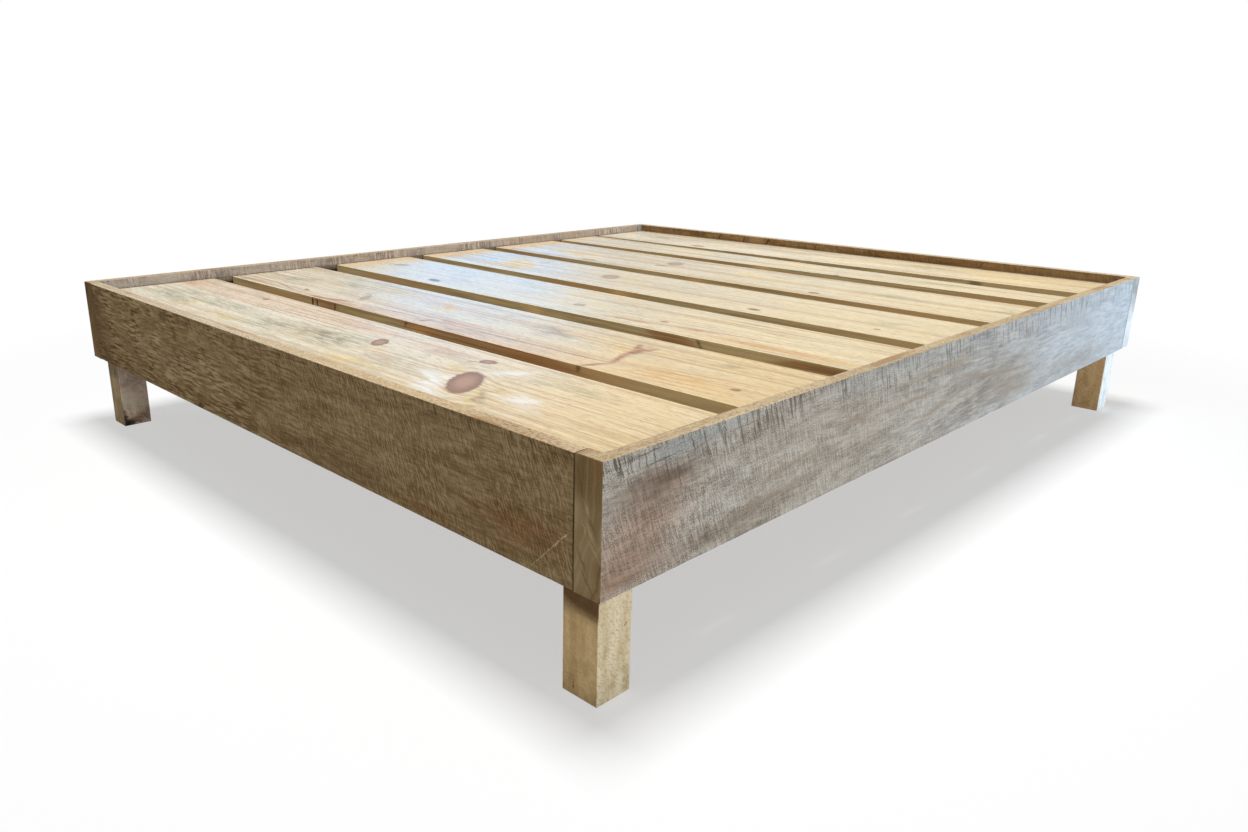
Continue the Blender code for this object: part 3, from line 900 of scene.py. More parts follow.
@dataclass(frozen=True)
class BareBeech:
    """Beech dowels, pale and flecked along their length."""

    name: str = "beech_dowel"
    ground: Colour = (214, 178, 138)
    fleck: Colour = (178, 134, 94)

    def material(self) -> bpy.types.Material:
        """Lay out the nodes.

        Returns:
            The finished material.
        """
        bench = NodeBench(self.name)
        x, y, z = bench.place()
        fleck = bench.noise(x, y, z, scale=900.0)
        colour = bench.mix(fleck.rise(0.5, 0.7), self.ground, self.fleck)
        return bench.surface(colour, 0.6, fleck, 0.0002, Specular_IOR_Level=0.3)


@dataclass(frozen=True)
class ZincSteel:
    """Zinc-plated screws: bright, a little blotched, with fine turning scratches."""

    name: str = "zinc_screw"
    bright: Colour = (204, 206, 208)
    dull: Colour = (168, 172, 178)

    def material(self) -> bpy.types.Material:
        """Lay out the nodes.

        Returns:
            The finished material.
        """
        bench = NodeBench(self.name)
        x, y, z = bench.place()
        blotch = bench.noise(x, y, z, scale=260.0, detail=3.0)
        scratch = bench.noise(x * 3000.0, y * 3000.0, z * 900.0, detail=1.0)
        colour = bench.mix(blotch.rise(0.35, 0.7), self.bright, self.dull)
        return bench.surface(colour, blotch * 0.25 + 0.22, scratch, 0.00005, Metallic=1.0)


@dataclass(frozen=True)
class Section:
    """One cross-section of a board: its place along the grain and its sharp corners, in order."""

    along: float
    corners: tuple[Point, ...]


@dataclass(frozen=True)
class Board:
    """A board lofted through its cross-sections, with worn arrises and faces that aren't quite flat.

    Wear and unevenness only go inwards, so the board stays inside its sharp outline.
    """

    # The steps of an arris round a corner, and over a board's end as shares of its size: along and in.
    ARC_STEPS: ClassVar[int] = 3
    END_STEPS: ClassVar[tuple[Point, ...]] = ((0.0, 0.92), (0.35, 0.35), (1.0, 0.0))
    # How many swells and bites of wear there are to a metre, along and across the grain.
    SWELL: ClassVar[Point] = (5.0, 14.0)
    BITE: ClassVar[Point] = (38.0, 20.0)
    # Corners closer than the weld are made one, and edges above the sharp angle aren't shaded smooth.
    WELD: ClassVar[float] = 2e-6
    SHARP_DEGREES: ClassVar[float] = 42.0

    name: str
    grain: Grain
    sections: tuple[Section, ...]
    arris: float = 0.0014
    end_arris: float = 0.0014
    pitch: float = 0.020
    relief: float = 0.0003
    wear: float = 0.0008
    seed: float = 0.0

    def side_parts(self) -> list[int]:
        """Work out how finely each side of the outline is cut, from its longest length.

        Returns:
            The number of parts for each side.
        """
        parts = []
        for index in range(len(self.sections[0].corners)):
            longest = 0.0
            for section in self.sections:
                ring = section.corners
                step = Vector(ring[(index + 1) % len(ring)]) - Vector(ring[index])
                longest = max(longest, step.length)
            parts.append(max(1, round(longest / self.pitch)))
        return parts

    def outline(self, section: Section, parts: Sequence[int], inset: float) -> list[Vector]:
        """The rounded, worn outline of one cross-section.

        Args:
            section: the cross-section.
            parts: how many parts each side is cut into.
            inset: how far the whole outline is drawn in, for the end's own arris.

        Returns:
            The outline's points, in grain coordinates.
        """
        ring = [Vector(corner) for corner in section.corners]
        count = len(ring)
        points = []
        for index, corner in enumerate(ring):
            into = (corner - ring[index - 1]).normalized()
            out = (ring[(index + 1) % count] - corner).normalized()
            centre = corner + (out - into) * self.arris
            for step in range(self.ARC_STEPS + 1):
                turn = math.pi / 2 * step / self.ARC_STEPS
                place = centre + (into * math.sin(turn) - out * math.cos(turn)) * self.arris
                points.append((place, True))
            start = corner + out * self.arris
            end = ring[(index + 1) % count] - out * self.arris
            for step in range(1, parts[index]):
                points.append((start.lerp(end, step / parts[index]), False))
        turning = sum(a.cross(b) for a, b in zip(ring, ring[1:] + ring[:1]))
        outward = 1.0 if turning > 0 else -1.0
        worn = []
        for index, (place, on_arris) in enumerate(points):
            before = points[index - 1][0]
            after = points[(index + 1) % len(points)][0]
            run = (after - before).normalized()
            normal = Vector((run.y, -run.x)) * outward
            depth = self.depth(section.along, place, on_arris) + inset
            moved = place - normal * depth
            worn.append(Vector((section.along, moved.x, moved.y)))
        return worn

    def depth(self, along: float, place: Vector, on_arris: bool) -> float:
        """How far wear and unevenness take a point of the outline inwards.

        Args:
            along: the place along the grain.
            place: the point of the outline.
            on_arris: whether it is on a corner.

        Returns:
            The depth in metres.
        """
        pitch, cross_pitch = self.SWELL
        swell = Vector((along * pitch + self.seed, place.x * cross_pitch, place.y * cross_pitch))
        depth = self.relief * (0.5 + 0.5 * noise.noise(swell))
        if on_arris:
            pitch, cross_pitch = self.BITE
            bite = Vector((along * pitch, place.x * cross_pitch + self.seed, place.y * cross_pitch))
            depth += self.wear * max(0.0, noise.noise(bite)) ** 2
        return depth

    def stations(self) -> list[tuple[Section, float]]:
        """Lay out every cross-section to loft through.

        Returns:
            Each cross-section, with how far its outline is drawn in.
        """
        first, last = self.sections[0], self.sections[-1]
        worn = self.end_arris
        placed = []
        for share, inset in self.END_STEPS:
            placed.append((Section(first.along + share * worn, first.corners), inset * worn))
        for before, after in zip(self.sections, self.sections[1:]):
            start = before.along + (worn if before is first else 0.0)
            end = after.along - (worn if after is last else 0.0)
            steps = max(1, round((end - start) / self.pitch))
            for step in range(1, steps + 1):
                share = step / steps
                corners = tuple(
                    tuple(Vector(a).lerp(Vector(b), share)) for a, b in zip(before.corners, after.corners)
                )
                placed.append((Section(start + (end - start) * share, corners), 0.0))
        for share, inset in reversed(self.END_STEPS[:-1]):
            placed.append((Section(last.along - share * worn, last.corners), inset * worn))
        return placed

    def build(self) -> bpy.types.Object:
        """Loft the board.

        Returns:
            The board as an object in the scene, at the origin, with no material yet.
        """
        parts = self.side_parts()
        shape = bmesh.new()
        rings = []
        for section, inset in self.stations():
            points = self.outline(section, parts, inset)
            rings.append([shape.verts.new(self.grain.point(*point)) for point in points])
        for near, far in zip(rings, rings[1:]):
            for index in range(len(near)):
                after = (index + 1) % len(near)
                shape.faces.new((near[index], near[after], far[after], far[index]))
        shape.faces.new(rings[0])
        shape.faces.new(rings[-1])
        bmesh.ops.remove_doubles(shape, verts=shape.verts, dist=self.WELD)
        bmesh.ops.recalc_face_normals(shape, faces=shape.faces)
        mesh = bpy.data.meshes.new(self.name)
        shape.to_mesh(mesh)
        shape.free()
        mesh.shade_smooth()
        mesh.set_sharp_from_angle(angle=math.radians(self.SHARP_DEGREES))
        board = add_to_scene(self.name, mesh)
        weights = board.modifiers.new("flat_faces", "WEIGHTED_NORMAL")
        weights.keep_sharp = True
        return board


def dress(
    piece: bpy.types.Object,
    materials: Sequence[bpy.types.Material],
    choose: Chooser = lambda _normal, _middle: 0,
) -> None:
    """Give each face of a piece one of several materials.

    Args:
        piece: the piece.
        materials: the materials.
        choose: picks a material's number from a face's normal and middle, or else always the first.
    """
    piece.data.materials.clear()
    for material in materials:
        piece.data.materials.append(material)
    for face in piece.data.polygons:
        face.material_index = choose(face.normal, face.center)


def settle(piece: bpy.types.Object, slot: str, *nodes: str) -> None:
    """Let a new piece ride on the frame in place of its CAD nodes.

    Args:
        piece: the new piece.
        slot: the record's material slot; not used.
        nodes: the CAD nodes that it stands for.
    """
    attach(piece, BODY)
    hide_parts(*nodes)
    LOG.info("%s: %d faces", piece.name, len(piece.data.polygons))


def rectangle(low: Point, high: Point) -> tuple[Point, ...]:
    """The four corners of a rectangular section."""
    return ((low[0], low[1]), (high[0], low[1]), (high[0], high[1]), (low[0], high[1]))


def ledge_height() -> float:
    """The height of the rails' ledges, level with the beam's top."""
    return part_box("centre_beam")[1].z


def rail_section(node: str, places: Triple, is_cut: bool) -> tuple[Point, ...]:
    """The corners of a rail's section, with or without the rebate for the slats.

    Args:
        node: the CAD node that it stands for.
        places: the places of the outer face, the inner face and the rebate's wall.
        is_cut: whether the rebate is cut there.

    Returns:
        Six corners either way, so that the board can be lofted from one to the other.
    """
    low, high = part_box(node)
    outer, inner, wall = places
    ledge = ledge_height()
    notch = (wall, ledge) if is_cut else (inner, high.z)
    return ((outer, low.z), (inner, low.z), (inner, ledge), notch, (wall, high.z), (outer, high.z))


class RailFace(Enum):
    """The faces of a rail that are finished differently."""

    SAWN = 0
    PLANED = 1
    END = 2
    LEDGE = 3
    LEFT_END = 4


def rail_face(grain: Grain, end_tilt: float = END_TILT) -> Chooser:
    """Tell a rail's faces apart by the way they look.

    Args:
        grain: the way that the rail runs.
        end_tilt: how far a face may turn from the rail's sides before it counts as its end.

    Returns:
        A function that gives a face's number from its normal and middle.
    """
    along, across, _ = grain.value
    ledge = ledge_height()

    def choose(normal: Vector, middle: Vector) -> int:
        """Choose a face's finish.

        Args:
            normal: the face's normal.
            middle: its middle.

        Returns:
            The number of its finish.
        """
        inwards = normal[across] * middle[across] < 0
        if abs(normal[along]) > end_tilt:
            at_left = grain is Grain.ALONG_X and normal.x < 0
            return RailFace.LEFT_END.value if at_left else RailFace.END.value
        # The ledge's top and the inner wall up to the slats take the painted ledge shade.
        if inwards and middle.z < ledge + LEDGE_WALL:
            return RailFace.LEDGE.value
        if normal.z > TOP_TILT and abs(middle.z - ledge) < LEDGE_SHADE_REACH:
            return RailFace.LEDGE.value
        if normal.z > TOP_TILT:
            return RailFace.PLANED.value
        return RailFace.SAWN.value

    return choose


def shaded_ledge_finish(grain: Grain, seed: float) -> SawnMango:
    """The finish of a rail's hidden ledge and of the inner face under it: painted shade, near black on the
    ledge and low on the wall.

    Args:
        grain: the way that the rail's grain runs.
        seed: the seed of the wood's pattern.

    Returns:
        The finish.
    """
    return SawnMango(
        name=f"ledge_{grain.name.lower()}", grain=grain, dark=(98, 82, 68), mid=(146, 128, 110),
        pale=(170, 153, 136), warm=(150, 128, 106), cool=(150, 138, 124), seed=seed,
        marks=MarkKind.LEDGE_SHADE.at((0.0, 0.25, 4.0, 0.058)),
    )


TOP_SEAMS = (
    *MarkKind.TAN_SEAM.at((-0.781, -0.962, 0.013, 0.001, 90)),
    *MarkKind.SEAM.at((0.781, -0.962, 0.013, 0.0011, 90)),
)


@dataclass
class SideRails:
    """The two side rails: they run through at the foot and butt on the head rail."""

    lip: float = 0.022
    foot_lip: float = 0.024
    arris: float = 0.0014
    end_tilt: float = 0.3
    RIGHT_MARKS: ClassVar[tuple[Mark, ...]] = (
        *MarkKind.REDDISH_SHADE.at(
            (-0.93, 0.2, 0.12, 0.06), (-0.94, 0.185, 0.06, 0.024), (-0.89, 0.255, 0.1, 0.05),
        ),
        *MarkKind.BROWN_SHADE.at(
            (-0.86, 0.285, 0.09, 0.014), (-0.88, 0.285, 0.105, 0.026), (-0.85, 0.3, 0.07, 0.014),
        ),
        *MarkKind.LOW_SHADE.at(
            (-0.76, 0.18, 0.24, 0.024), (0.6, 0.19, 0.3, 0.034), (0.12, 0.23, 0.22, 0.06),
        ),
        *MarkKind.BLUE_SHADE.at((-0.8, 0.325, 0.15, 0.014, 3)),
        *MarkKind.BROWN_SHADE.at((-0.772, 0.186, 0.012, 0.018)),
        *MarkKind.GREY_FIBRE.at((-0.3, 0.322, 0.26, 0.022)),
        *MarkKind.GRAIN_BAND.at(
            (-0.09, 0.295, 0.13, 0.008, 1), (-0.19, 0.257, 0.17, 0.005, 1), (0.06, 0.252, 0.11, 0.006, -8),
            (0.19, 0.236, 0.1, 0.005, -4), (-0.11, 0.225, 0.1, 0.006, 7), (-0.39, 0.266, 0.05, 0.01, 4),
            (-0.56, 0.238, 0.1, 0.005, 8), (-0.62, 0.2, 0.14, 0.005, 3), (0.23, 0.2, 0.1, 0.028),
            (0.27, 0.297, 0.014, 0.009, -30),
        ),
        *MarkKind.GRAIN_LINE.at(
            (-0.88, 0.3065, 0.06, 0.0014, 1), (-0.8, 0.314, 0.04, 0.0014, 14),
            (-0.69, 0.321, 0.09, 0.0014, 2), (-0.55, 0.325, 0.07, 0.0013, 3),
        ),
        *MarkKind.CRACK.at(
            (-0.945, 0.32, 0.018, 0.0012, 98), (-0.931, 0.316, 0.022, 0.0013, 92),
            (-0.912, 0.325, 0.013, 0.0012, 100), (-0.899, 0.321, 0.017, 0.0012, 103),
            (-0.884, 0.322, 0.016, 0.0012, 104), (-0.86, 0.3, 0.024, 0.0013, 106),
            (-0.836, 0.285, 0.024, 0.0013, 108), (-0.811, 0.32, 0.016, 0.0013, 112),
            (-0.788, 0.325, 0.012, 0.0012, 108), (-0.745, 0.322, 0.014, 0.0012, 100),
            (-0.698, 0.326, 0.011, 0.0012, 102), (-0.672, 0.318, 0.012, 0.0011, 108),
            (-0.572, 0.326, 0.012, 0.0011, 104), (-0.545, 0.328, 0.011, 0.0011, 108),
            (-0.9, 0.33, 0.045, 0.001, 3), (-0.87, 0.315, 0.05, 0.0008, 4),
        ),
        *MarkKind.BLUE_SEAM.at((0.93, 0.25, 0.1, 0.0022, 90)),
    )

    RIGHT_END_MARKS: ClassVar[tuple[Mark, ...]] = (
        *MarkKind.PALE_STREAK.at(
            (0.803, 0.272, 0.016, 0.0026, -62), (0.808, 0.246, 0.02, 0.0034, -58),
            (0.798, 0.25, 0.018, 0.0014, -66), (0.814, 0.225, 0.018, 0.0022, -52),
        ),
        *MarkKind.DARK_STREAK.at(
            (0.796, 0.205, 0.022, 0.003, -60), (0.803, 0.182, 0.024, 0.0028, -54),
            (0.811, 0.256, 0.018, 0.002, -60), (0.792, 0.3, 0.026, 0.002, -80),
        ),
    )

    def board(self, node: str, side: int, seed: float) -> Board:
        """One side rail as a board.

        Args:
            node: the CAD node that it stands for.
            side: -1 for the left and 1 for the right.
            seed: tells one rail's wear from the other's.

        Returns:
            The board.
        """
        low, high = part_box(node)
        outer, inner = (high.x, low.x) if side > 0 else (low.x, high.x)
        places = (outer, inner, outer - side * self.lip)
        full = rail_section(node, places, is_cut=False)
        cut = rail_section(node, places, is_cut=True)
        stop = low.y + self.foot_lip
        sections = (Section(low.y, full), Section(stop, full), Section(stop, cut), Section(high.y, cut))
        return Board(node.replace("rail", "rail_board"), Grain.ALONG_Y, sections, arris=self.arris, seed=seed)

    def right_sawn(self) -> SawnMango:
        """The right rail's faces: grey-brown by the foot, going pale blue-white towards the head, partly
        greyed wood and partly a painted sheen.

        Returns:
            Their finish.
        """
        return SawnMango(
            name="right_rail_sawn", grain=Grain.ALONG_Y, dark=(84, 76, 68), mid=(150, 144, 134),
            pale=(184, 179, 170), warm=(162, 150, 134), cool=(166, 171, 168), seed=4.0, bands=0.17,
            dashes=0.32, dash_length=20.0, dash_rows=150.0, band_length=11.0, band_rows=60.0,
            patch_length=13.0, comb=0.30, comb_pitch=270.0, turnover=(0.10, -0.60), kept=0.45, drawn=0.4,
            strokes=0.68, stroke_pitch=230.0, stroke_floor=0.276, speckle=0.80, fibre=0.14, nap_scale=560.0,
            warmth=0.25, coolness=0.25, greying_and_sheen=(-0.38, 0.98, 0.96), greying_and_sheen_colour=(189, 201, 212),
            marks=self.RIGHT_MARKS, specular=0.3, roughness=0.72,
        )

    def left_sawn(self) -> SawnMango:
        """The left rail's faces: grey-brown throughout.

        Returns:
            Their finish.
        """
        return SawnMango(
            name="left_rail_sawn", grain=Grain.ALONG_Y, dark=(122, 107, 94), mid=(176, 162, 148),
            pale=(200, 188, 176), warm=(182, 162, 144), cool=(180, 174, 170), seed=7.0, bands=0.12,
            dashes=0.12, comb=0.65, comb_pitch=240.0, lean=0.1, speckle=0.3, specular=0.1,
        )

    def build(self) -> None:
        """Build and dress both rails."""
        planed = PlanedMango(
            "side_rail_planed", Grain.ALONG_Y, ground=(170, 150, 118), pale=(188, 170, 139),
            pore=(120, 96, 66), patch=(142, 110, 74), marks=TOP_SEAMS, seed=2.0,
        )
        right_end = MangoEndGrain(
            "right_rail_end", Grain.ALONG_Y, pith=(0.45, 0.30), dark=(78, 61, 37), mid=(109, 91, 62),
            pale=(132, 116, 86), reddened=0.35, marks=self.RIGHT_END_MARKS, seed=1.0,
        )
        left_end = MangoEndGrain(
            "left_rail_end", Grain.ALONG_Y, pith=(-0.60, 0.12), dark=(62, 45, 27), mid=(88, 69, 44),
            pale=(110, 92, 64), seed=4.0,
        )
        top = planed.material()
        ledge = shaded_ledge_finish(Grain.ALONG_Y, 12.0).material()
        for node, side, sawn, end, seed in (
            ("left_side_rail", -1, self.left_sawn(), left_end, 3.0),
            ("right_side_rail", 1, self.right_sawn(), right_end, 8.0),
        ):
            rail = self.board(node, side, seed).build()
            finishes = (sawn.material(), top, end.material(), ledge)
            dress(rail, finishes, rail_face(Grain.ALONG_Y, self.end_tilt))
            settle(rail, "side_rail_wood", node)


@dataclass
class EndRails:
    """The foot rail, fitted between the side rails, and the head rail, which runs right across."""

    lip: float = 0.024
    side_lip: float = 0.022
    arris: float = 0.0014
    butt_arris: float = 0.0005
    FOOT_MARKS: ClassVar[tuple[Mark, ...]] = (
        *MarkKind.LOW_SHADE.at((-0.7, 0.185, 0.26, 0.05), (0.05, 0.18, 0.7, 0.022)),
        *MarkKind.SCRATCH.at(
            (0.736, 0.198, 0.05, 0.0007, 45), (0.752, 0.214, 0.01, 0.002, 48),
            (0.766, 0.228, 0.008, 0.0012, 40),
        ),
        *MarkKind.BLACK_KNOT.at((-0.245, 0.165, 0.012, 0.008, 20)),
        *MarkKind.GRAIN_LINE.at((-0.12, 0.185, 0.014, 0.002, -55)),
        *MarkKind.DARK_END.at((-0.85, 0.23, 0.16, 0.2)),
        *MarkKind.RED_TINGE.at((0.69, 0.215, 0.11, 0.03), (0.48, 0.176, 0.08, 0.014)),
        *MarkKind.SEAM.at((0.7802, 0.25, 0.1, 0.0013, 90)),
    )

    TOP_MARKS: ClassVar[tuple[Mark, ...]] = (
        *MarkKind.TAN_TINT.at((0.5, -0.963, 0.6, 0.06)),
        *MarkKind.LOW_SHADE.at((0.66, -0.963, 0.14, 0.06)),
        *TOP_SEAMS,
    )

    HEAD_MARKS: ClassVar[tuple[Mark, ...]] = (
        *MarkKind.TAN_PATCH.at((-0.3, 0.325, 0.034, 0.03)),
        *MarkKind.CHECK.at(
            (-0.258, 0.324, 0.018, 0.0024, 62), (-0.45, 0.326, 0.015, 0.0016, 60),
            (-0.35, 0.326, 0.014, 0.0014, 62), (-0.08, 0.328, 0.011, 0.0014, 64),
            (0.44, 0.326, 0.013, 0.0012, 58),
        ),
    )

    def sections(self, node: str, end: int) -> tuple[Section, ...]:
        """The cross-sections of one end rail.

        Args:
            node: the CAD node that it stands for.
            end: -1 for the foot and 1 for the head.

        Returns:
            The sections from left to right.
        """
        low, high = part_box(node)
        outer, inner = (high.y, low.y) if end > 0 else (low.y, high.y)
        places = (outer, inner, outer - end * self.lip)
        cut = rail_section(node, places, is_cut=True)
        if end < 0:
            return (Section(low.x, cut), Section(high.x, cut))
        full = rail_section(node, places, is_cut=False)
        left = low.x + self.side_lip
        right = high.x - self.side_lip
        return (
            Section(low.x, full),
            Section(left, full),
            Section(left, cut),
            Section(right, cut),
            Section(right, full),
            Section(high.x, full),
        )

    def foot_sawn(self) -> SawnMango:
        """The foot rail's faces: olive brown, rippled.

        Returns:
            Their finish.
        """
        return SawnMango(
            name="foot_rail_sawn", grain=Grain.ALONG_X, dark=(68, 50, 27), mid=(108, 90, 62),
            pale=(136, 119, 89), warm=(124, 93, 62), cool=(126, 114, 90), seed=1.0, bands=0.18, dashes=0.78,
            dash_length=23.0, dash_rows=200.0, band_length=10.0, band_rows=60.0, patch_length=18.0,
            comb=0.35, comb_pitch=300.0, comb_rows=72.0, lean=0.42, turnover=(-0.35, 0.30), kept=0.25,
            strokes=0.24, stroke_pitch=230.0, stroke_floor=0.300, speckle=0.22, crisp=0.10, warmth=0.18,
            coolness=0.14, marks=self.FOOT_MARKS,
        )

    def head_sawn(self) -> SawnMango:
        """The head rail's faces: darker and warmer than the foot rail's.

        Returns:
            Their finish.
        """
        return SawnMango(
            name="head_rail_sawn", grain=Grain.ALONG_X, dark=(74, 52, 30), mid=(115, 88, 55),
            pale=(142, 114, 78), warm=(128, 92, 56), cool=(128, 108, 80), seed=5.0, bands=0.26, dashes=0.26,
            comb=0.28, comb_pitch=260.0, speckle=0.34, marks=self.HEAD_MARKS,
        )

    def build(self) -> None:
        """Build and dress both rails."""
        planed = PlanedMango("end_rail_planed", Grain.ALONG_X, marks=self.TOP_MARKS, seed=6.0)
        foot_end = MangoEndGrain("foot_rail_end", Grain.ALONG_X, pith=(-0.90, 0.12), seed=2.0)
        # Painted sheen: the head rail's right end is a pale blue-white.
        sheened_head_end = MangoEndGrain(
            "head_rail_end_painted_sheen", Grain.ALONG_X, pith=(0.90, 0.12), dark=(150, 154, 156), mid=(188, 196, 202),
            pale=(214, 222, 228), seed=3.0,
        )
        left_end = MangoEndGrain(
            "head_rail_left_end", Grain.ALONG_X, pith=(0.90, 0.12), dark=(92, 74, 52), mid=(130, 109, 82),
            pale=(156, 138, 110), seed=5.0,
        ).material()
        top = planed.material()
        ledge = shaded_ledge_finish(Grain.ALONG_X, 13.0).material()
        for node, end, sawn, end_grain, slot, seed in (
            ("foot_rail", -1, self.foot_sawn(), foot_end, "foot_rail_wood", 11.0),
            ("head_rail", 1, self.head_sawn(), sheened_head_end, "head_rail_wood", 14.0),
        ):
            rail = Board(
                node + "_board", Grain.ALONG_X, self.sections(node, end), arris=self.arris,
                end_arris=self.butt_arris, seed=seed,
            ).build()
            finishes = (sawn.material(), top, end_grain.material(), ledge, left_end)
            dress(rail, finishes, rail_face(Grain.ALONG_X))
            settle(rail, slot, node)


@dataclass
class CornerLegs:
    """The four corner legs, notched round both rails."""

    shoulder_slope: float = 0.0002
    arris: float = 0.0018
    pitch: float = 0.012
    pith: Point = (0.70, 0.80)
    first_seed: float = 20.0

    def board(self, node: str, side: int, end: int, seed: float) -> Board:
        """One leg as a board.

        Args:
            node: the CAD node that it stands for.
            side: -1 for the left and 1 for the right.
            end: -1 for the foot and 1 for the head.
            seed: tells one leg's wear from the others'.

        Returns:
            The board.
        """
        low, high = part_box(node)
        side_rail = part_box("right_side_rail" if side > 0 else "left_side_rail")
        end_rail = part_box("head_rail" if end > 0 else "foot_rail")
        face_x = side_rail[0].x - SEAT_GAP if side > 0 else side_rail[1].x + SEAT_GAP
        face_y = end_rail[0].y - SEAT_GAP if end > 0 else end_rail[1].y + SEAT_GAP
        whole = rectangle((low.x, low.y), (high.x, high.y))
        spans_x = (low.x, face_x) if side > 0 else (face_x, high.x)
        spans_y = (low.y, face_y) if end > 0 else (face_y, high.y)
        by_side = rectangle((spans_x[0], low.y), (spans_x[1], high.y))
        core = rectangle((spans_x[0], spans_y[0]), (spans_x[1], spans_y[1]))
        side_shoulder = side_rail[0].z - SEAT_GAP
        end_shoulder = end_rail[0].z - SEAT_GAP
        slope = self.shoulder_slope
        sections = (
            Section(low.z, whole),
            Section(side_shoulder - slope, whole),
            Section(side_shoulder, by_side),
            Section(end_shoulder - slope, by_side),
            Section(end_shoulder, core),
            Section(high.z, core),
        )
        return Board(
            node + "_post", Grain.ALONG_Z, sections, arris=self.arris, pitch=self.pitch, seed=seed
        )

    def woods(self) -> dict[str, tuple[LegWood, LegWood]]:
        """The wood of each leg's end face and of its side face, some of them lightened or given a sheen as
        painted light.

        Returns:
            The two woods for each leg, by the leg's node.
        """
        return {
            "foot_right_leg": (
                LegWood(
                    "near_leg_end", (156, 132, 92), (178, 155, 113), (134, 108, 70), 1.0,
                    marks=(
                        # Painted shadow of the foot rail on the top of the leg's end face.
                        *MarkKind.SHADED.at((0.775, 0.146, 0.08, 0.024, -10)),
                        *MarkKind.TAN_SEAM.at((0.756, 0.028, 0.014, 0.0008, 8)),
                        *MarkKind.CHECK.at((0.764, 0.013, 0.01, 0.0007, 88)),
                        *MarkKind.TAN_SEAM.at((0.772, 0.038, 0.01, 0.0007, 6)),
                    ),
                    fleck_share=0.40,
                ),
                LegWood(
                    "near_leg_side", (190, 175, 143), (210, 198, 170), (146, 122, 86), 2.0, 1,
                    marks=MarkKind.DARK_KNOT.at((-0.904, 0.1, 0.004, 0.0012, 40)), fleck_share=0.45,
                ),
            ),
            "foot_left_leg": (
                LegWood("left_leg_end", (122, 103, 77), (142, 124, 94), (94, 75, 52), 3.0),
                # Painted light: this side face is lightened to make up for the bed's shade over it.
                LegWood(
                    "left_leg_side_painted_light", (184, 164, 144), (212, 194, 172), (128, 106, 86), 4.0, 1,
                    marks=(
                        *MarkKind.LEG_PINK.at((-0.925, 0.125, 0.04, 0.03)),
                        *MarkKind.LEG_PALE.at((-0.935, 0.07, 0.06, 0.016, -50)),
                        *MarkKind.LEG_RED.at((-0.905, 0.02, 0.03, 0.016, 20)),
                        *MarkKind.BARK.at((-0.954, 0.014, 0.04, 0.011, 105), (-0.942, 0.006, 0.014, 0.01)),
                    ),
                ),
            ),
            "head_right_leg": (
                # Painted light: the end face is lightened to make up for the shade it stands in, and the side
                # face is a painted blue-white sheen.
                LegWood("far_leg_end_painted_light", (234, 195, 142), (246, 212, 160), (184, 146, 98), 5.0),
                LegWood("far_leg_side_painted_sheen", (214, 222, 226), (232, 240, 242), (178, 184, 186), 6.0, 1),
            ),
            "head_left_leg": (
                LegWood("back_leg_end", (146, 122, 88), (168, 144, 106), (116, 92, 62), 7.0),
                LegWood("back_leg_side", (150, 130, 104), (170, 150, 122), (118, 98, 72), 8.0, 1),
            ),
        }

    def build(self) -> None:
        """Build and dress the four legs."""
        corners = {
            "foot_left_leg": (-1, -1),
            "foot_right_leg": (1, -1),
            "head_left_leg": (-1, 1),
            "head_right_leg": (1, 1),
        }
        woods = self.woods()
        for number, (node, (side, end)) in enumerate(corners.items()):
            leg = self.board(node, side, end, self.first_seed + number).build()
            end_wood, side_wood = woods[node]
            pith = (side * self.pith[0], end * self.pith[1])
            foot = MangoEndGrain(node + "_end_grain", Grain.ALONG_Z, pith, seed=number)
            dress(
                leg,
                (end_wood.material(), side_wood.material(), foot.material()),
                lambda normal, _middle: 2 if abs(normal.z) > END_TILT else int(abs(normal.x) > abs(normal.y)),
            )
            settle(leg, "leg_wood", node)


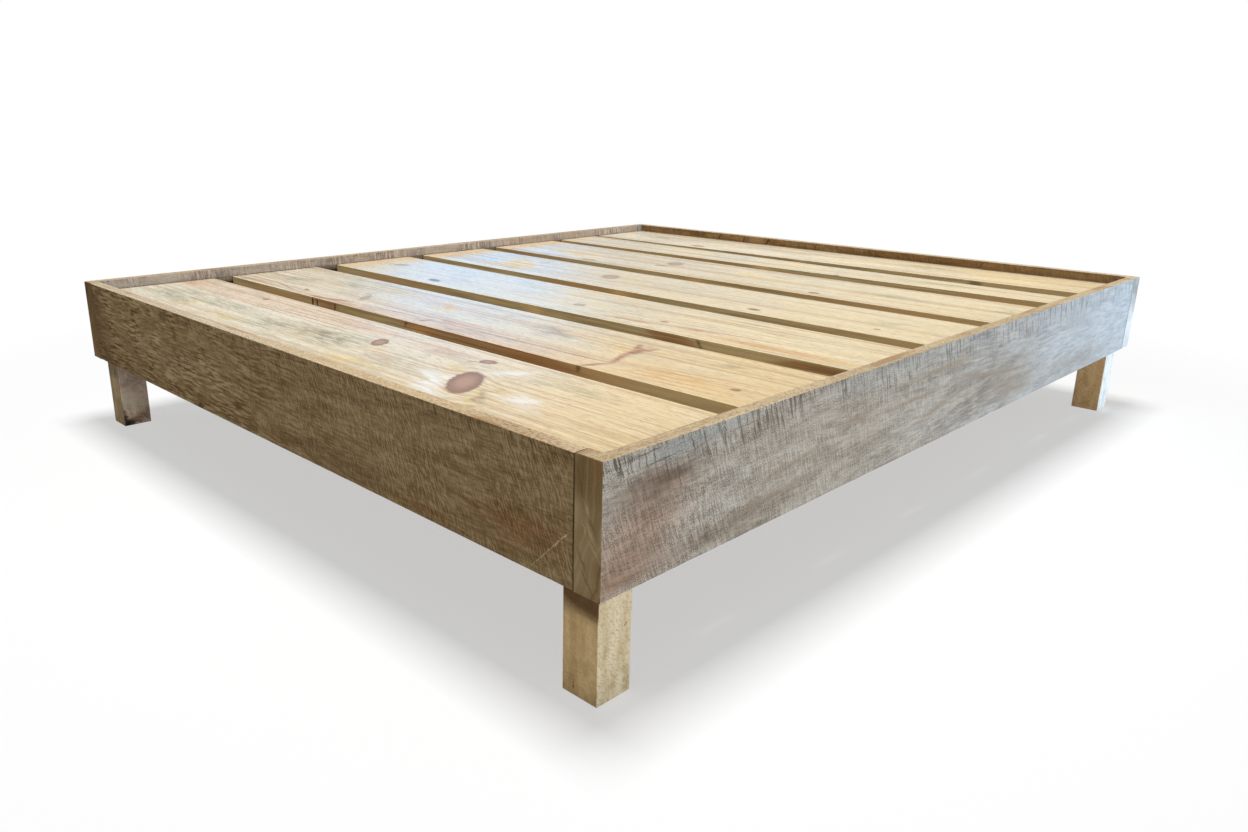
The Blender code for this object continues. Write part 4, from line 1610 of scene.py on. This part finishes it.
@dataclass
class SlatDeck:
    """The seven slats, each with its own figure, knots and stains."""

    count: int = 7
    arris: float = 0.0011
    relief: float = 0.0002
    wear: float = 0.0005
    end_share: float = 0.98
    first_seed: float = 30.0
    face_step: float = 2.3
    edge_step: float = 1.7

    FACE_MARKS: ClassVar[dict[int, tuple[Mark, ...]]] = {
        1: (
            *MarkKind.GREEN_CLOUD.at(
                (-0.68, -0.83, 0.09, 0.05, 25), (-0.59, -0.85, 0.1, 0.034, 8),
                (-0.42, -0.81, 0.12, 0.026, 3), (-0.21, -0.84, 0.11, 0.044, 8),
                (-0.02, -0.83, 0.11, 0.04, -12), (0.02, -0.79, 0.11, 0.034, 10),
            ),
            *MarkKind.YELLOW_CLOUD.at(
                (-0.54, -0.85, 0.06, 0.03, 30), (-0.33, -0.87, 0.08, 0.028), (0.15, -0.885, 0.12, 0.016),
            ),
            *MarkKind.GREY_CLOUD.at((0.18, -0.835, 0.06, 0.022, -10)),
            *MarkKind.PINK_ZONE.at((-0.78, -0.722, 0.9, 0.049)),
            *MarkKind.PINK_CLOUD.at((-0.76, -0.75, 0.05, 0.02), (0.2, -0.73, 0.1, 0.03)),
            *MarkKind.WHITE_STREAK.at(
                (0.38, -0.88, 0.09, 0.026, -42), (0.405, -0.74, 0.06, 0.018, 48),
                (0.54, -0.835, 0.06, 0.022, -25), (0.345, -0.85, 0.06, 0.02, -45),
            ),
            *MarkKind.GREY_CLOUD.at((-0.06, -0.815, 0.14, 0.05, 5)),
            *MarkKind.GREEN_CLOUD.at((0.555, -0.738, 0.1, 0.024), (0.478, -0.858, 0.06, 0.01, -52)),
            *MarkKind.YELLOW_CLOUD.at(
                (0.116, -0.803, 0.03, 0.018, -20), (0.325, -0.782, 0.04, 0.014, -20),
                (0.48, -0.862, 0.085, 0.026, -48),
            ),
            *MarkKind.SPECKS.at((0.492, -0.866, 0.052, 0.013, -52)),
            *MarkKind.PINK_LINE.at(
                (-0.3, -0.769, 0.36, 0.0022), (-0.2, -0.754, 0.28, 0.0024, 0.4),
                (-0.26, -0.74, 0.16, 0.0022, 3), (-0.08, -0.727, 0.2, 0.002, 2),
                (-0.56, -0.722, 0.14, 0.002, 5), (-0.16, -0.702, 0.3, 0.0018, -0.5),
                (0.1, -0.705, 0.07, 0.002, 14),
            ),
            *MarkKind.RED_KNOT.at((0.079, -0.771, 0.028, 0.016, -46), (0.324, -0.721, 0.018, 0.012, 14)),
            *MarkKind.RED_STREAK.at((0.303, -0.74, 0.012, 0.003, 60)),
            *MarkKind.RED_KNOT.at((0.396, -0.828, 0.066, 0.028, -51)),
            *MarkKind.BROWN_KNOT.at((-0.449, -0.719, 0.011, 0.008)),
        ),
        2: (
            *MarkKind.GREEN_CLOUD.at((-0.66, -0.53, 0.1, 0.036, 10), (-0.48, -0.47, 0.12, 0.04, -10)),
            *MarkKind.YELLOW_CLOUD.at((-0.35, -0.445, 0.11, 0.018)),
            *MarkKind.TAN_CLOUD.at((-0.752, -0.525, 0.04, 0.009, 80), (-0.105, -0.48, 0.034, 0.018, -35)),
            *MarkKind.PINK_CLOUD.at((0, -0.612, 0.55, 0.026), (0.05, -0.56, 0.22, 0.026)),
            *MarkKind.SPECKS.at((0.225, -0.475, 0.07, 0.032, -20)),
            *MarkKind.TAN_CLOUD.at((0.404, -0.484, 0.04, 0.018, -62)),
            *MarkKind.PINK_LINE.at(
                (0.2, -0.581, 0.27, 0.005, 1), (-0.14, -0.588, 0.15, 0.0036, 2.5),
                (-0.72, -0.587, 0.09, 0.003, -1),
            ),
            *MarkKind.RED_STREAK.at((-0.58, -0.599, 0.075, 0.0034, -11)),
            *MarkKind.PINK_LINE.at((-0.6, -0.57, 0.08, 0.003, 9), (-0.69, -0.614, 0.1, 0.0034, 2)),
            *MarkKind.ORANGE_STREAK.at((-0.7, -0.606, 0.1, 0.008, 2)),
            *MarkKind.BROWN_KNOT.at((-0.5, -0.588, 0.014, 0.006, -20)),
            *MarkKind.RED_STREAK.at((-0.34, -0.608, 0.06, 0.01, 15), (-0.395, -0.617, 0.04, 0.008, 4)),
            *MarkKind.ORANGE_STREAK.at((-0.29, -0.616, 0.04, 0.012, 10)),
            *MarkKind.GREY_KNOT.at((-0.315, -0.548, 0.026, 0.013, -50)),
            *MarkKind.SPECKS.at((-0.33, -0.525, 0.05, 0.016, -50)),
            *MarkKind.BROWN_KNOT.at((-0.022, -0.592, 0.018, 0.005, 60)),
            *MarkKind.SPECKS.at((0.44, -0.49, 0.05, 0.018, -80)),
            *MarkKind.RED_STREAK.at(
                (0.455, -0.545, 0.042, 0.0085, -68), (0.441, -0.487, 0.04, 0.012, -84),
                (0.421, -0.455, 0.024, 0.008, -62), (0.452, -0.457, 0.02, 0.007, 70),
                (0.454, -0.603, 0.034, 0.008, 66), (0.385, -0.579, 0.09, 0.003, 1.5),
            ),
            *MarkKind.TAN_CLOUD.at((0.6, -0.572, 0.11, 0.022, 5)),
            *MarkKind.ARC_LINE.at(
                (0.6, -0.572, 0.13, 0.0036, 7), (0.61, -0.59, 0.14, 0.003, 5),
                (0.62, -0.607, 0.14, 0.003, 3), (0.59, -0.552, 0.11, 0.0034, 9),
                (0.62, -0.532, 0.14, 0.0034, 8),
            ),
            *MarkKind.GREY_STREAK.at((0.618, -0.447, 0.038, 0.014, 24)),
            *MarkKind.BROWN_KNOT.at((0.706, -0.558, 0.01, 0.007)),
        ),
        3: (
            *MarkKind.GREY_KNOT.at((-0.677, -0.193, 0.026, 0.016, 20)),
            *MarkKind.DARK_KNOT.at((-0.409, -0.284, 0.028, 0.012, -10)),
            *MarkKind.TAN_CLOUD.at((-0.013, -0.15, 0.034, 0.012, 76)),
            *MarkKind.GREY_KNOT.at((0.067, -0.247, 0.018, 0.013)),
            *MarkKind.ORANGE_STREAK.at((0.25, -0.284, 0.075, 0.009), (0.39, -0.268, 0.06, 0.012, 4)),
            *MarkKind.PINK_LINE.at(
                (0.21, -0.292, 0.07, 0.0028, 4), (0.3, -0.276, 0.06, 0.003, 6),
                (0.42, -0.26, 0.08, 0.0026, 5), (0.52, -0.25, 0.09, 0.0024, 2),
            ),
            *MarkKind.BROWN_KNOT.at((0.31, -0.25, 0.011, 0.006, 10)),
            *MarkKind.ORANGE_STREAK.at((0.6, -0.29, 0.2, 0.02)),
            *MarkKind.GREY_STREAK.at((0.449, -0.14, 0.07, 0.007), (0.54, -0.188, 0.06, 0.005, -3)),
        ),
        4: (
            *MarkKind.TAN_CLOUD.at((-0.48, 0.07, 0.12, 0.045, -42), (-0.51, 0.01, 0.12, 0.018)),
            *MarkKind.GREY_CLOUD.at((-0.45, 0.145, 0.045, 0.014, -55)),
            *MarkKind.GREY_KNOT.at((-0.151, 0.086, 0.036, 0.026, -45)),
            *MarkKind.DARK_KNOT.at((0.356, -0.007, 0.017, 0.01), (0.636, 0.003, 0.007, 0.005)),
            *MarkKind.GREEN_CLOUD.at((0.63, 0.065, 0.06, 0.028, 20)),
        ),
        5: (
            *MarkKind.TAN_CLOUD.at((-0.5, 0.335, 0.12, 0.055, -20)),
            *MarkKind.GREY_KNOT.at(
                (-0.409, 0.269, 0.03, 0.015), (-0.185, 0.39, 0.036, 0.024, -55),
                (-0.192, 0.336, 0.022, 0.012, 10),
            ),
            *MarkKind.DARK_KNOT.at((0.334, 0.27, 0.015, 0.01)),
            *MarkKind.GREEN_CLOUD.at((0.741, 0.371, 0.026, 0.022, 40), (0.48, 0.36, 0.11, 0.03, -10)),
            *MarkKind.TAN_CLOUD.at((0.12, 0.4, 0.12, 0.034)),
        ),
        6: (
            *MarkKind.TAN_CLOUD.at((0.05, 0.62, 0.11, 0.03, -10), (-0.33, 0.6, 0.12, 0.034)),
            *MarkKind.GREEN_CLOUD.at((0.48, 0.61, 0.12, 0.03, 8)),
            *MarkKind.BROWN_KNOT.at((0.234, 0.538, 0.024, 0.009, -62)),
        ),
        7: (
            *MarkKind.GREY_CLOUD.at((-0.616, 0.843, 0.07, 0.032, -20), (0.33, 0.87, 0.12, 0.024)),
            *MarkKind.TAN_CLOUD.at(
                (-0.366, 0.843, 0.05, 0.018), (0.12, 0.82, 0.14, 0.03), (0.56, 0.8, 0.09, 0.026, 12),
            ),
            *MarkKind.GREY_KNOT.at((-0.391, 0.757, 0.028, 0.016, -10)),
        ),
    }
    EDGE_MARKS: ClassVar[dict[int, tuple[Mark, ...]]] = {
        2: (
            *MarkKind.RUST_PATCH.at((0.2, 0.306, 0.27, 0.02, -1), (-0.35, 0.308, 0.06, 0.012)),
            *MarkKind.CHECK.at(
                (-0.406, 0.306, 0.014, 0.0042, 84), (-0.386, 0.306, 0.013, 0.003, 86),
                (-0.312, 0.307, 0.012, 0.003, 80),
            ),
            *MarkKind.DARK_PATCH.at((-0.045, 0.311, 0.01, 0.004, 60), (0.44, 0.311, 0.009, 0.006, 70)),
        ),
        3: (
            *MarkKind.RUST_PATCH.at((0.385, 0.308, 0.07, 0.014, -8)),
            *MarkKind.DARK_PATCH.at((0.456, 0.306, 0.012, 0.004, -50)),
            *MarkKind.RUST_PATCH.at((0.72, 0.306, 0.11, 0.012, 3)),
        ),
        7: (
            *MarkKind.DARK_PATCH.at((0.515, 0.308, 0.02, 0.008), (0.66, 0.302, 0.02, 0.004)),
        ),
    }

    def edge_span(self, node: str, side: int) -> tuple[float, float]:
        """The near and far edge of a slat at one of its ends.

        Args:
            node: the slat's CAD node.
            side: -1 for the left end and 1 for the right.

        Returns:
            The lowest and highest y there.
        """
        low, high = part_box(node)
        middle = (low.x + high.x) / 2
        reach = (high.x - low.x) / 2 * self.end_share
        places = [corner.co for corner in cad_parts[node].data.vertices]
        at_end = [place.y for place in places if (place.x - middle) * side > reach]
        return min(at_end), max(at_end)

    def board(self, number: int) -> Board:
        """One slat as a board, sawn a little out of square.

        Args:
            number: the slat's number, from 1.

        Returns:
            The board.
        """
        node = f"slat_{number}"
        low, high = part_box(node)
        sections = []
        for side, along in ((-1, low.x), (1, high.x)):
            near, far = self.edge_span(node, side)
            sections.append(Section(along, rectangle((near, low.z), (far, high.z))))
        return Board(
            node + "_board", Grain.ALONG_X, tuple(sections), arris=self.arris, relief=self.relief,
            wear=self.wear, seed=self.first_seed + number,
        )

    def finishes(self, number: int) -> tuple[SlatFace, SlatEdge]:
        """Set the finishes of one slat.

        Args:
            number: the slat's number, from 1.

        Returns:
            The finish of its faces and the finish of its long edges.
        """
        edge_marks = self.EDGE_MARKS.get(number, ())
        edge = SlatEdge(f"slat_{number}_edge", number * self.edge_step, edge_marks)
        left = (217, 213, 196)
        cool = (223, 221, 206)
        honey = (223, 199, 150)
        amber = (223, 195, 138)
        bright = (240, 229, 202)
        sunny = (232, 211, 164)
        settings = {
            1: {"spalting": 0.75, "lines": 0.46, "pink": 0.2, "rows": 100.0, "cream": cool, "gold": honey},
            2: {"spalting": 0.8, "lines": 0.54, "pink": 0.4, "rows": 100.0, "cream": left, "gold": amber},
            3: {"spalting": 0.7, "lines": 0.56, "pink": 0.1, "rail_reflection": 0.9},
            4: {"spalting": 0.7, "lines": 0.56, "pink": 0.1, "rail_reflection": 0.9},
            5: {"spalting": 0.65, "lines": 0.48, "pink": 0.1, "rows": 40.0, "rail_reflection": 0.9},
            6: {"spalting": 0.7, "lines": 0.52, "pink": 0.1, "rows": 40.0, "rail_reflection": 0.6},
            7: {"spalting": 0.5, "lines": 0.42, "pink": 0.1, "rows": 40.0, "cream": bright, "gold": sunny},
        }
        face_marks = self.FACE_MARKS.get(number, ())
        face = SlatFace(f"slat_{number}_face", number * self.face_step, face_marks, **settings[number])
        return face, edge

    def build(self) -> None:
        """Build and dress every slat."""
        for number in range(1, self.count + 1):
            slat = self.board(number).build()
            face, edge = self.finishes(number)
            dress(
                slat,
                (face.material(), edge.material()),
                lambda normal, _middle: int(max(abs(normal.x), abs(normal.y)) > EDGE_TILT),
            )
            settle(slat, "slat_wood", f"slat_{number}")


@dataclass
class CentreSupport:
    """The beam, its cleats and its leg, which stay as the frame has them and get their wood."""

    GRAINS: ClassVar[dict[str, Grain]] = {
        "centre_beam": Grain.ALONG_Y,
        "foot_beam_cleat": Grain.ALONG_X,
        "head_beam_cleat": Grain.ALONG_X,
        "centre_leg": Grain.ALONG_Z,
    }

    def build(self) -> None:
        """Dress the beam, cleats and leg."""
        for seed, (node, grain) in enumerate(self.GRAINS.items()):
            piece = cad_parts[node]
            dress(piece, (PlainPine(node + "_pine", grain, seed=seed).material(),))
            LOG.info("%s: dressed", node)


@dataclass
class Fastenings:
    """The screws and dowels, which stay as the frame has them and get their finish."""

    def build(self) -> None:
        """Dress every screw and dowel."""
        steel = ZincSteel().material()
        beech = BareBeech().material()
        for node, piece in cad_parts.items():
            if "screw" in node:
                dress(piece, (steel,))
            elif "dowel" in node:
                dress(piece, (beech,))
        LOG.info("screws and dowels: dressed")


class LampTask(Enum):
    """What a lamp lights, the bed alone or the floor alone, as the floor's state in its light linking."""

    BED = "EXCLUDE"
    FLOOR = "INCLUDE"


@dataclass(frozen=True)
class SoftLamp:
    """A soft rectangular lamp: where it stands, what it points at, its size, power and colour."""

    name: str
    place: Triple
    aim: Triple
    width: float
    height: float
    watts: float
    colour: Triple = (1.0, 1.0, 1.0)
    task: LampTask = LampTask.BED
    mirrored: bool = True

    def build(self, floor: bpy.types.Object) -> None:
        """Hang the lamp.

        Args:
            floor: the studio's floor.
        """
        light = bpy.data.lights.new(self.name, "AREA")
        light.shape = "RECTANGLE"
        light.size = self.width
        light.size_y = self.height
        light.energy = self.watts
        light.color = self.colour
        lamp = add_to_scene(self.name, light)
        lamp.location = self.place
        direction = Vector(self.aim) - Vector(self.place)
        lamp.rotation_euler = direction.to_track_quat("-Z", "Y").to_euler()
        lamp.visible_glossy = self.mirrored
        group = bpy.data.collections.new(self.name + "_receivers")
        group.objects.link(floor)
        for member in group.collection_objects:
            member.light_linking.link_state = self.task.value
        lamp.light_linking.receiver_collection = group


@dataclass(frozen=True)
class MirrorCard:
    """An upright card on an arc round the camera's foot, which only the varnish mirrors.

    Its fades say how far in from its start, end, foot and head it takes to reach its full glow.
    """

    name: str
    bearings: tuple[float, float]
    heights: tuple[float, float]
    colour: Light
    strength: float
    fades: tuple[float, float, float, float] = (1.0, 1.0, 0.02, 0.02)
    radius: float = 5.0
    middle: Point = (1.497, -1.694)
    steps: int = 12

    def glow(self) -> bpy.types.Material:
        """A glow that fades out towards the card's edges.

        Returns:
            The material.
        """
        bench = NodeBench(self.name)
        x, y, z = bench.place()
        bearing = bench.math("ARCTAN2", y - self.middle[1], x - self.middle[0]) * math.degrees(1.0)
        start, end = self.bearings
        foot, head = self.heights
        after_start, before_end, over_foot, under_head = self.fades
        share = bearing.rise(start, start + after_start) * bearing.rise(end, end - before_end)
        share = share * z.rise(foot, foot + over_foot) * z.rise(head, head - under_head)
        clear = bench.node("BsdfTransparent")
        glow = bench.node("Emission", {"Color": self.colour, "Strength": self.strength})
        return bench.cover(bench.blend(share, clear, glow))

    def build(self) -> None:
        """Stand the card."""
        shape = bmesh.new()
        start, end = self.bearings
        columns = []
        for step in range(self.steps + 1):
            bearing = math.radians(start + (end - start) * step / self.steps)
            x = self.middle[0] + self.radius * math.cos(bearing)
            y = self.middle[1] + self.radius * math.sin(bearing)
            columns.append([shape.verts.new((x, y, height)) for height in self.heights])
        for before, after in zip(columns, columns[1:]):
            shape.faces.new((before[0], after[0], after[1], before[1]))
        mesh = bpy.data.meshes.new(self.name)
        shape.to_mesh(mesh)
        shape.free()
        mesh.materials.append(self.glow())
        card = add_to_scene(self.name, mesh)
        hide_from(card, "camera", "diffuse", "transmission", "shadow")


@dataclass
class Studio:
    """A pale floor, soft lamps, cards for the varnish to mirror and a white surround."""

    floor_half: float = 9.0
    floor_colour: Colour = (246, 246, 246)
    floor_glow: float = 0.53
    glow_near: float = 1.3
    glow_far: float = 2.2
    sky_fill: float = 0.19
    sky_tint: Light = (0.97, 0.985, 1.0, 1.0)
    lamps: tuple[SoftLamp, ...] = (
        SoftLamp("key_lamp", (-0.4, -4.20, 7.60), (0.0, -0.2, 0.3), 1.0, 0.8, 634.0, (1.0, 0.985, 0.96)),
        SoftLamp("top_lamp", (0.2, 1.7, 3.2), (0.1, 0.9, 0.3), 1.8, 1.0, 56.0, (1.0, 0.99, 0.97)),
        SoftLamp(
            "side_lamp", (6.5, -0.5, 0.95), (0.8, 0.0, 0.2), 4.5, 1.9, 199.0, (1.0, 0.997, 0.99),
            mirrored=False,
        ),
        SoftLamp(
            "cool_lamp", (2.5, 2.2, 0.6), (0.8, 0.75, 0.25), 1.2, 1.0, 24.0, (0.66, 0.84, 1.0),
            mirrored=False,
        ),
        SoftLamp(
            "floor_lamp", (0.05, -0.25, 5.0), (0.05, -0.25, 0.0), 1.4, 1.4, 250.0, task=LampTask.FLOOR
        ),
    )
    cards: tuple[MirrorCard, ...] = (
        MirrorCard("grey_card", (96.0, 179.0), (0.0, 3.4), (0.50, 0.48, 0.45, 1.0), 1.0),
        MirrorCard(
            "window_card", (131.5, 149.5), (0.44, 0.97), (0.02, 0.42, 1.0, 1.0), 2.3,
            (7.5, 6.0, 0.13, 0.26), 4.5,
        ),
        MirrorCard(
            "haze_card", (117.0, 141.0), (0.38, 0.95), (0.60, 0.64, 0.74, 1.0), 0.5,
            (12.0, 5.0, 0.04, 0.25), 4.6,
        ),
        MirrorCard(
            "veil_card", (131.0, 152.0), (0.78, 1.45), (0.66, 0.69, 0.74, 1.0), 0.85,
            (5.0, 5.0, 0.15, 0.30), 4.7,
        ),
    )
    shade_half: Point = (0.77, 0.92)
    shade_height: float = 0.292

    def seen_rays(self, bench: NodeBench) -> Signal:
        """Tell the rays that see the stage from those that only carry light.

        Args:
            bench: the bench of the material that asks.

        Returns:
            1 for camera, glossy and transmission rays, and 0 for the others.
        """
        path = bench.node("LightPath")
        seen = Signal(bench, path.outputs["Is Camera Ray"])
        for name in ("Is Glossy Ray", "Is Transmission Ray"):
            seen = bench.math("MAXIMUM", seen, Signal(bench, path.outputs[name]))
        return seen

    def floor_material(self) -> bpy.types.Material:
        """A pale floor that keeps the shadow near the bed and fades into the white surround.

        Returns:
            The material.
        """
        bench = NodeBench("studio_floor")
        x, y, _ = bench.place()
        grit = bench.noise(x, y, 0.0, scale=3.0)
        paint = bench.mix(grit.rise(0.3, 0.7) * 0.02, self.floor_colour, WHITE)
        diffuse = bench.node("BsdfDiffuse", {"Color": paint})
        glow = bench.node("Emission", {"Color": WHITE, "Strength": 1.0})
        far = bench.length(bench.join(x, y, 0.0)).rise(self.glow_near, self.glow_far)
        share = (far * (1.0 - self.floor_glow) + self.floor_glow) * self.seen_rays(bench)
        return bench.cover(bench.blend(share, diffuse, glow))

    def flat_sheet(self, name: str, half: Point, height: float) -> bpy.types.Object:
        """A level rectangular sheet over the middle of the floor.

        Args:
            name: the sheet's name.
            half: half its size along x and y.
            height: its height.

        Returns:
            The sheet.
        """
        mesh = bpy.data.meshes.new(name)
        across, along = half
        corners = [(*corner, height) for corner in rectangle((-across, -along), (across, along))]
        mesh.from_pydata(corners, [], [(0, 1, 2, 3)])
        sheet = add_to_scene(name, mesh)
        return sheet

    def build_floor(self) -> bpy.types.Object:
        """Lay the floor under the bed.

        Returns:
            The floor.
        """
        floor = self.flat_sheet("studio_floor", (self.floor_half, self.floor_half), 0.0)
        floor.data.materials.append(self.floor_material())
        return floor

    def build_shade(self) -> None:
        """Hang a shade under the slats, for shadows alone, so that the gaps throw no stripes of light."""
        shade = self.flat_sheet("stripe_shade", self.shade_half, self.shade_height)
        hide_from(shade, "camera", "diffuse", "glossy", "transmission")

    def build_surround(self) -> None:
        """Make the surround white to look at, and a dim fill to be lit by."""
        world = bpy.data.worlds.new("studio_surround")
        bpy.context.scene.world = world
        bench = NodeBench("studio_surround", world)
        fill = bench.node("Background", {"Color": self.sky_tint, "Strength": self.sky_fill})
        white = bench.node("Background", {"Color": WHITE, "Strength": 1.0})
        bench.cover(bench.blend(self.seen_rays(bench), fill, white), "OutputWorld")

    def build(self) -> None:
        """Set up the floor, lamps, cards, surround and view."""
        floor = self.build_floor()
        self.build_shade()
        for lamp in self.lamps:
            lamp.build(floor)
        for card in self.cards:
            card.build()
        self.build_surround()
        bpy.context.scene.view_settings.view_transform = "Standard"
        LOG.info("studio: %d lamps and %d cards", len(self.lamps), len(self.cards))


@dataclass
class PhotoCamera:
    """The camera at the photograph's viewing angle, worked out from the corners that it shows."""

    place: Triple = (1.4970, -1.6942, 0.7010)
    heading: float = 135.6785
    pitch: float = -17.1377
    roll: float = 0.4145
    image_width: float = 1248.0
    image_height: float = 832.0
    focal_pixels: float = 940.788
    middle_column: float = 562.291
    middle_row: float = 410.474
    sensor: float = 36.0
    nearest: float = 0.05
    farthest: float = 60.0

    def build(self) -> None:
        """Place the camera and make it the scene's."""
        data = bpy.data.cameras.new("photo_camera")
        data.sensor_fit = "HORIZONTAL"
        data.sensor_width = self.sensor
        data.lens = self.focal_pixels / self.image_width * self.sensor
        data.shift_x = (self.image_width / 2 - self.middle_column) / self.image_width
        data.shift_y = (self.middle_row - self.image_height / 2) / self.image_width
        data.clip_start = self.nearest
        data.clip_end = self.farthest
        camera = add_to_scene("photo_camera", data)
        turn = Matrix.Rotation(math.radians(self.heading - 90.0), 4, "Z")
        tilt = Matrix.Rotation(math.radians(90.0 + self.pitch), 4, "X")
        roll = Matrix.Rotation(math.radians(self.roll), 4, "Z")
        camera.matrix_world = Matrix.Translation(self.place) @ turn @ tilt @ roll
        bpy.context.scene.camera = camera


def main() -> None:
    """Build the camera, the studio and every sub-assembly in order."""
    logging.basicConfig(level=logging.INFO, format="%(name)s %(message)s")
    PhotoCamera().build()
    Studio().build()
    SideRails().build()
    EndRails().build()
    CornerLegs().build()
    SlatDeck().build()
    CentreSupport().build()
    Fastenings().build()


if __name__ == "__main__":
    main()
